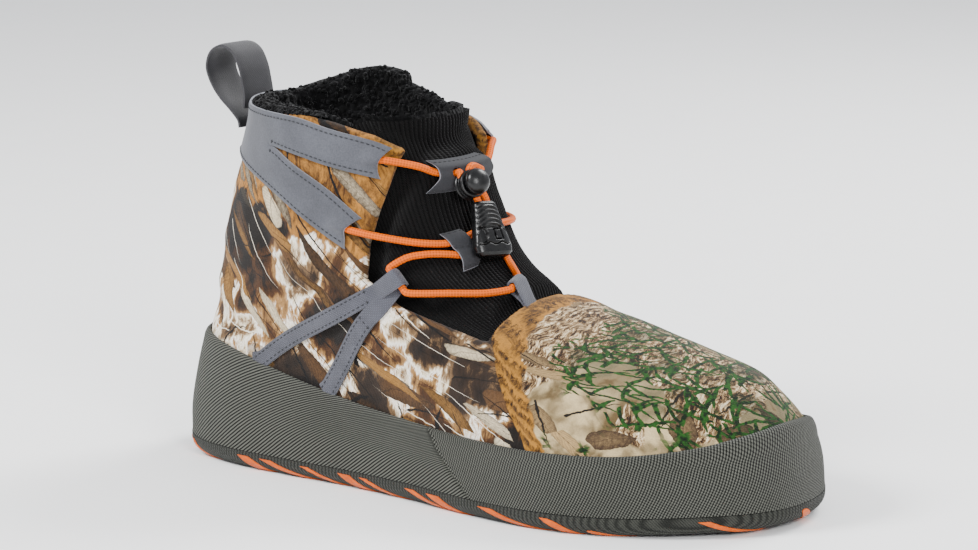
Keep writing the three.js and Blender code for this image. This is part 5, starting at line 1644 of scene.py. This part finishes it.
button += [(button_radius, shoulder - 0.4), (button_radius - 0.22, shoulder - 0.15)]
button += [(button_radius - 0.22, shoulder + 0.05)]
for a in np.linspace(0.05, math.pi / 2, 12):
    dome_height = shoulder + 0.1 + (button_dome - 0.1) * math.sin(a)
    button.append(((button_radius - 0.25) * math.cos(a), dome_height))
button[-1] = (0, shoulder + button_dome)
turned("lock_dome_button", button, ["lock_button"], "lock_button")

# Cord grip: a flat moulded pull in the same black plastic, closed over both cord ends. It has
# curved grip ribs, a D-shaped hollow and a small slot, and a parting line above its foot.
grip_top, grip_foot = np.array((4.2, -9.0, 116.3)) / 1000, np.array((13.5, -13.2, 95.2)) / 1000
grip_face = np.array((0.90, -0.25, 0.30))
# Share of the way down, width, depth in millimetres
grip_rows = np.array([
    (0.00, 9.2, 4.6), (0.04, 10.4, 6.0), (0.30, 12.6, 6.6), (0.55, 15.2, 6.8), (0.80, 17.6, 6.8),
    (0.92, 16.8, 6.4), (0.98, 13.8, 5.0), (1.00, 9.8, 3.2)])
grip_length = np.linalg.norm(grip_foot - grip_top)
down = (grip_foot - grip_top) / grip_length
wide = unit(np.cross(down, grip_face))
proud = np.cross(wide, down)
height_shares = np.concatenate([
    np.linspace(0, 0.04, 5)[:-1], np.linspace(0.04, 0.92, 110)[:-1], np.linspace(0.92, 1, 14)])
grip_width = np.interp(height_shares, grip_rows[:, 0], grip_rows[:, 1]) / 1000
grip_depth = np.interp(height_shares, grip_rows[:, 0], grip_rows[:, 2]) / 1000
squareness = 0.6
spread = np.cos(np.linspace(0, math.pi, 81))
front_half = np.arccos(np.sign(spread) * np.abs(spread) ** (1 / squareness))
angle = np.concatenate([front_half[:-1], math.pi + front_half[::2]])


def bent(value):
    return np.sign(value) * np.abs(value) ** squareness


a = bent(np.cos(angle))[None] * grip_width[:, None] / 2
b = bent(np.sin(angle))[None] * grip_depth[:, None] / 2
c = np.broadcast_to(height_shares[:, None] * grip_length, a.shape)
front = np.clip(b / (grip_depth[:, None] / 2), 0, 1) ** 2
mm_a, mm_c = a * 1000, c * 1000
bow = mm_c - 0.07 * mm_a ** 2
grip_ribs = 0.36 * np.clip(np.sin((bow - 1.6) * 2 * math.pi / 1.9), -0.6, 1)
grip_ribs *= ease(1.5, 2.4, mm_c) * (1 - ease(10.2, 11.0, bow))
d_edge = np.maximum(np.hypot((mm_a - 6.4) / 1.25, (mm_c - 14.4) / 1.3) - 2.8, mm_a - 6.1)
d_hollow = -1.4 * ease(0.2, -0.25, d_edge)
slot_edge = np.maximum(np.abs(mm_a + 2.2 + (mm_c - 14.4) * 0.12) - 1.7, np.abs(mm_c - 14.4) - 2.1)
small_slot = -0.9 * ease(0.42, 0.12, np.abs(slot_edge))
parting = -0.7 * bump(mm_c - 18.2 - 0.5 * np.cos(mm_a * 1.1), 0.24)
waist = -0.5 * bump(mm_c - 11.4, 0.35)
carved = (grip_ribs + d_hollow + small_slot + parting + waist) * front / 1000
points = grip_top + wide * a[..., None] + proud * (b + carved)[..., None] + down * c[..., None]
faces, count = quads(*points.shape[:2]), points.shape[0] * points.shape[1]
points = np.concatenate([points.reshape(-1, 3), [grip_top], [grip_foot]])
last = count - len(angle)
for k in range(len(angle) - 1):
    faces += [[count, k + 1, k], [count + 1, last + k, last + k + 1]]
grip = finished("moulded_grip", points, faces, black_plastic, "black_plastic", nodes=["cord_grip"], crease=50)
faces_out(grip)
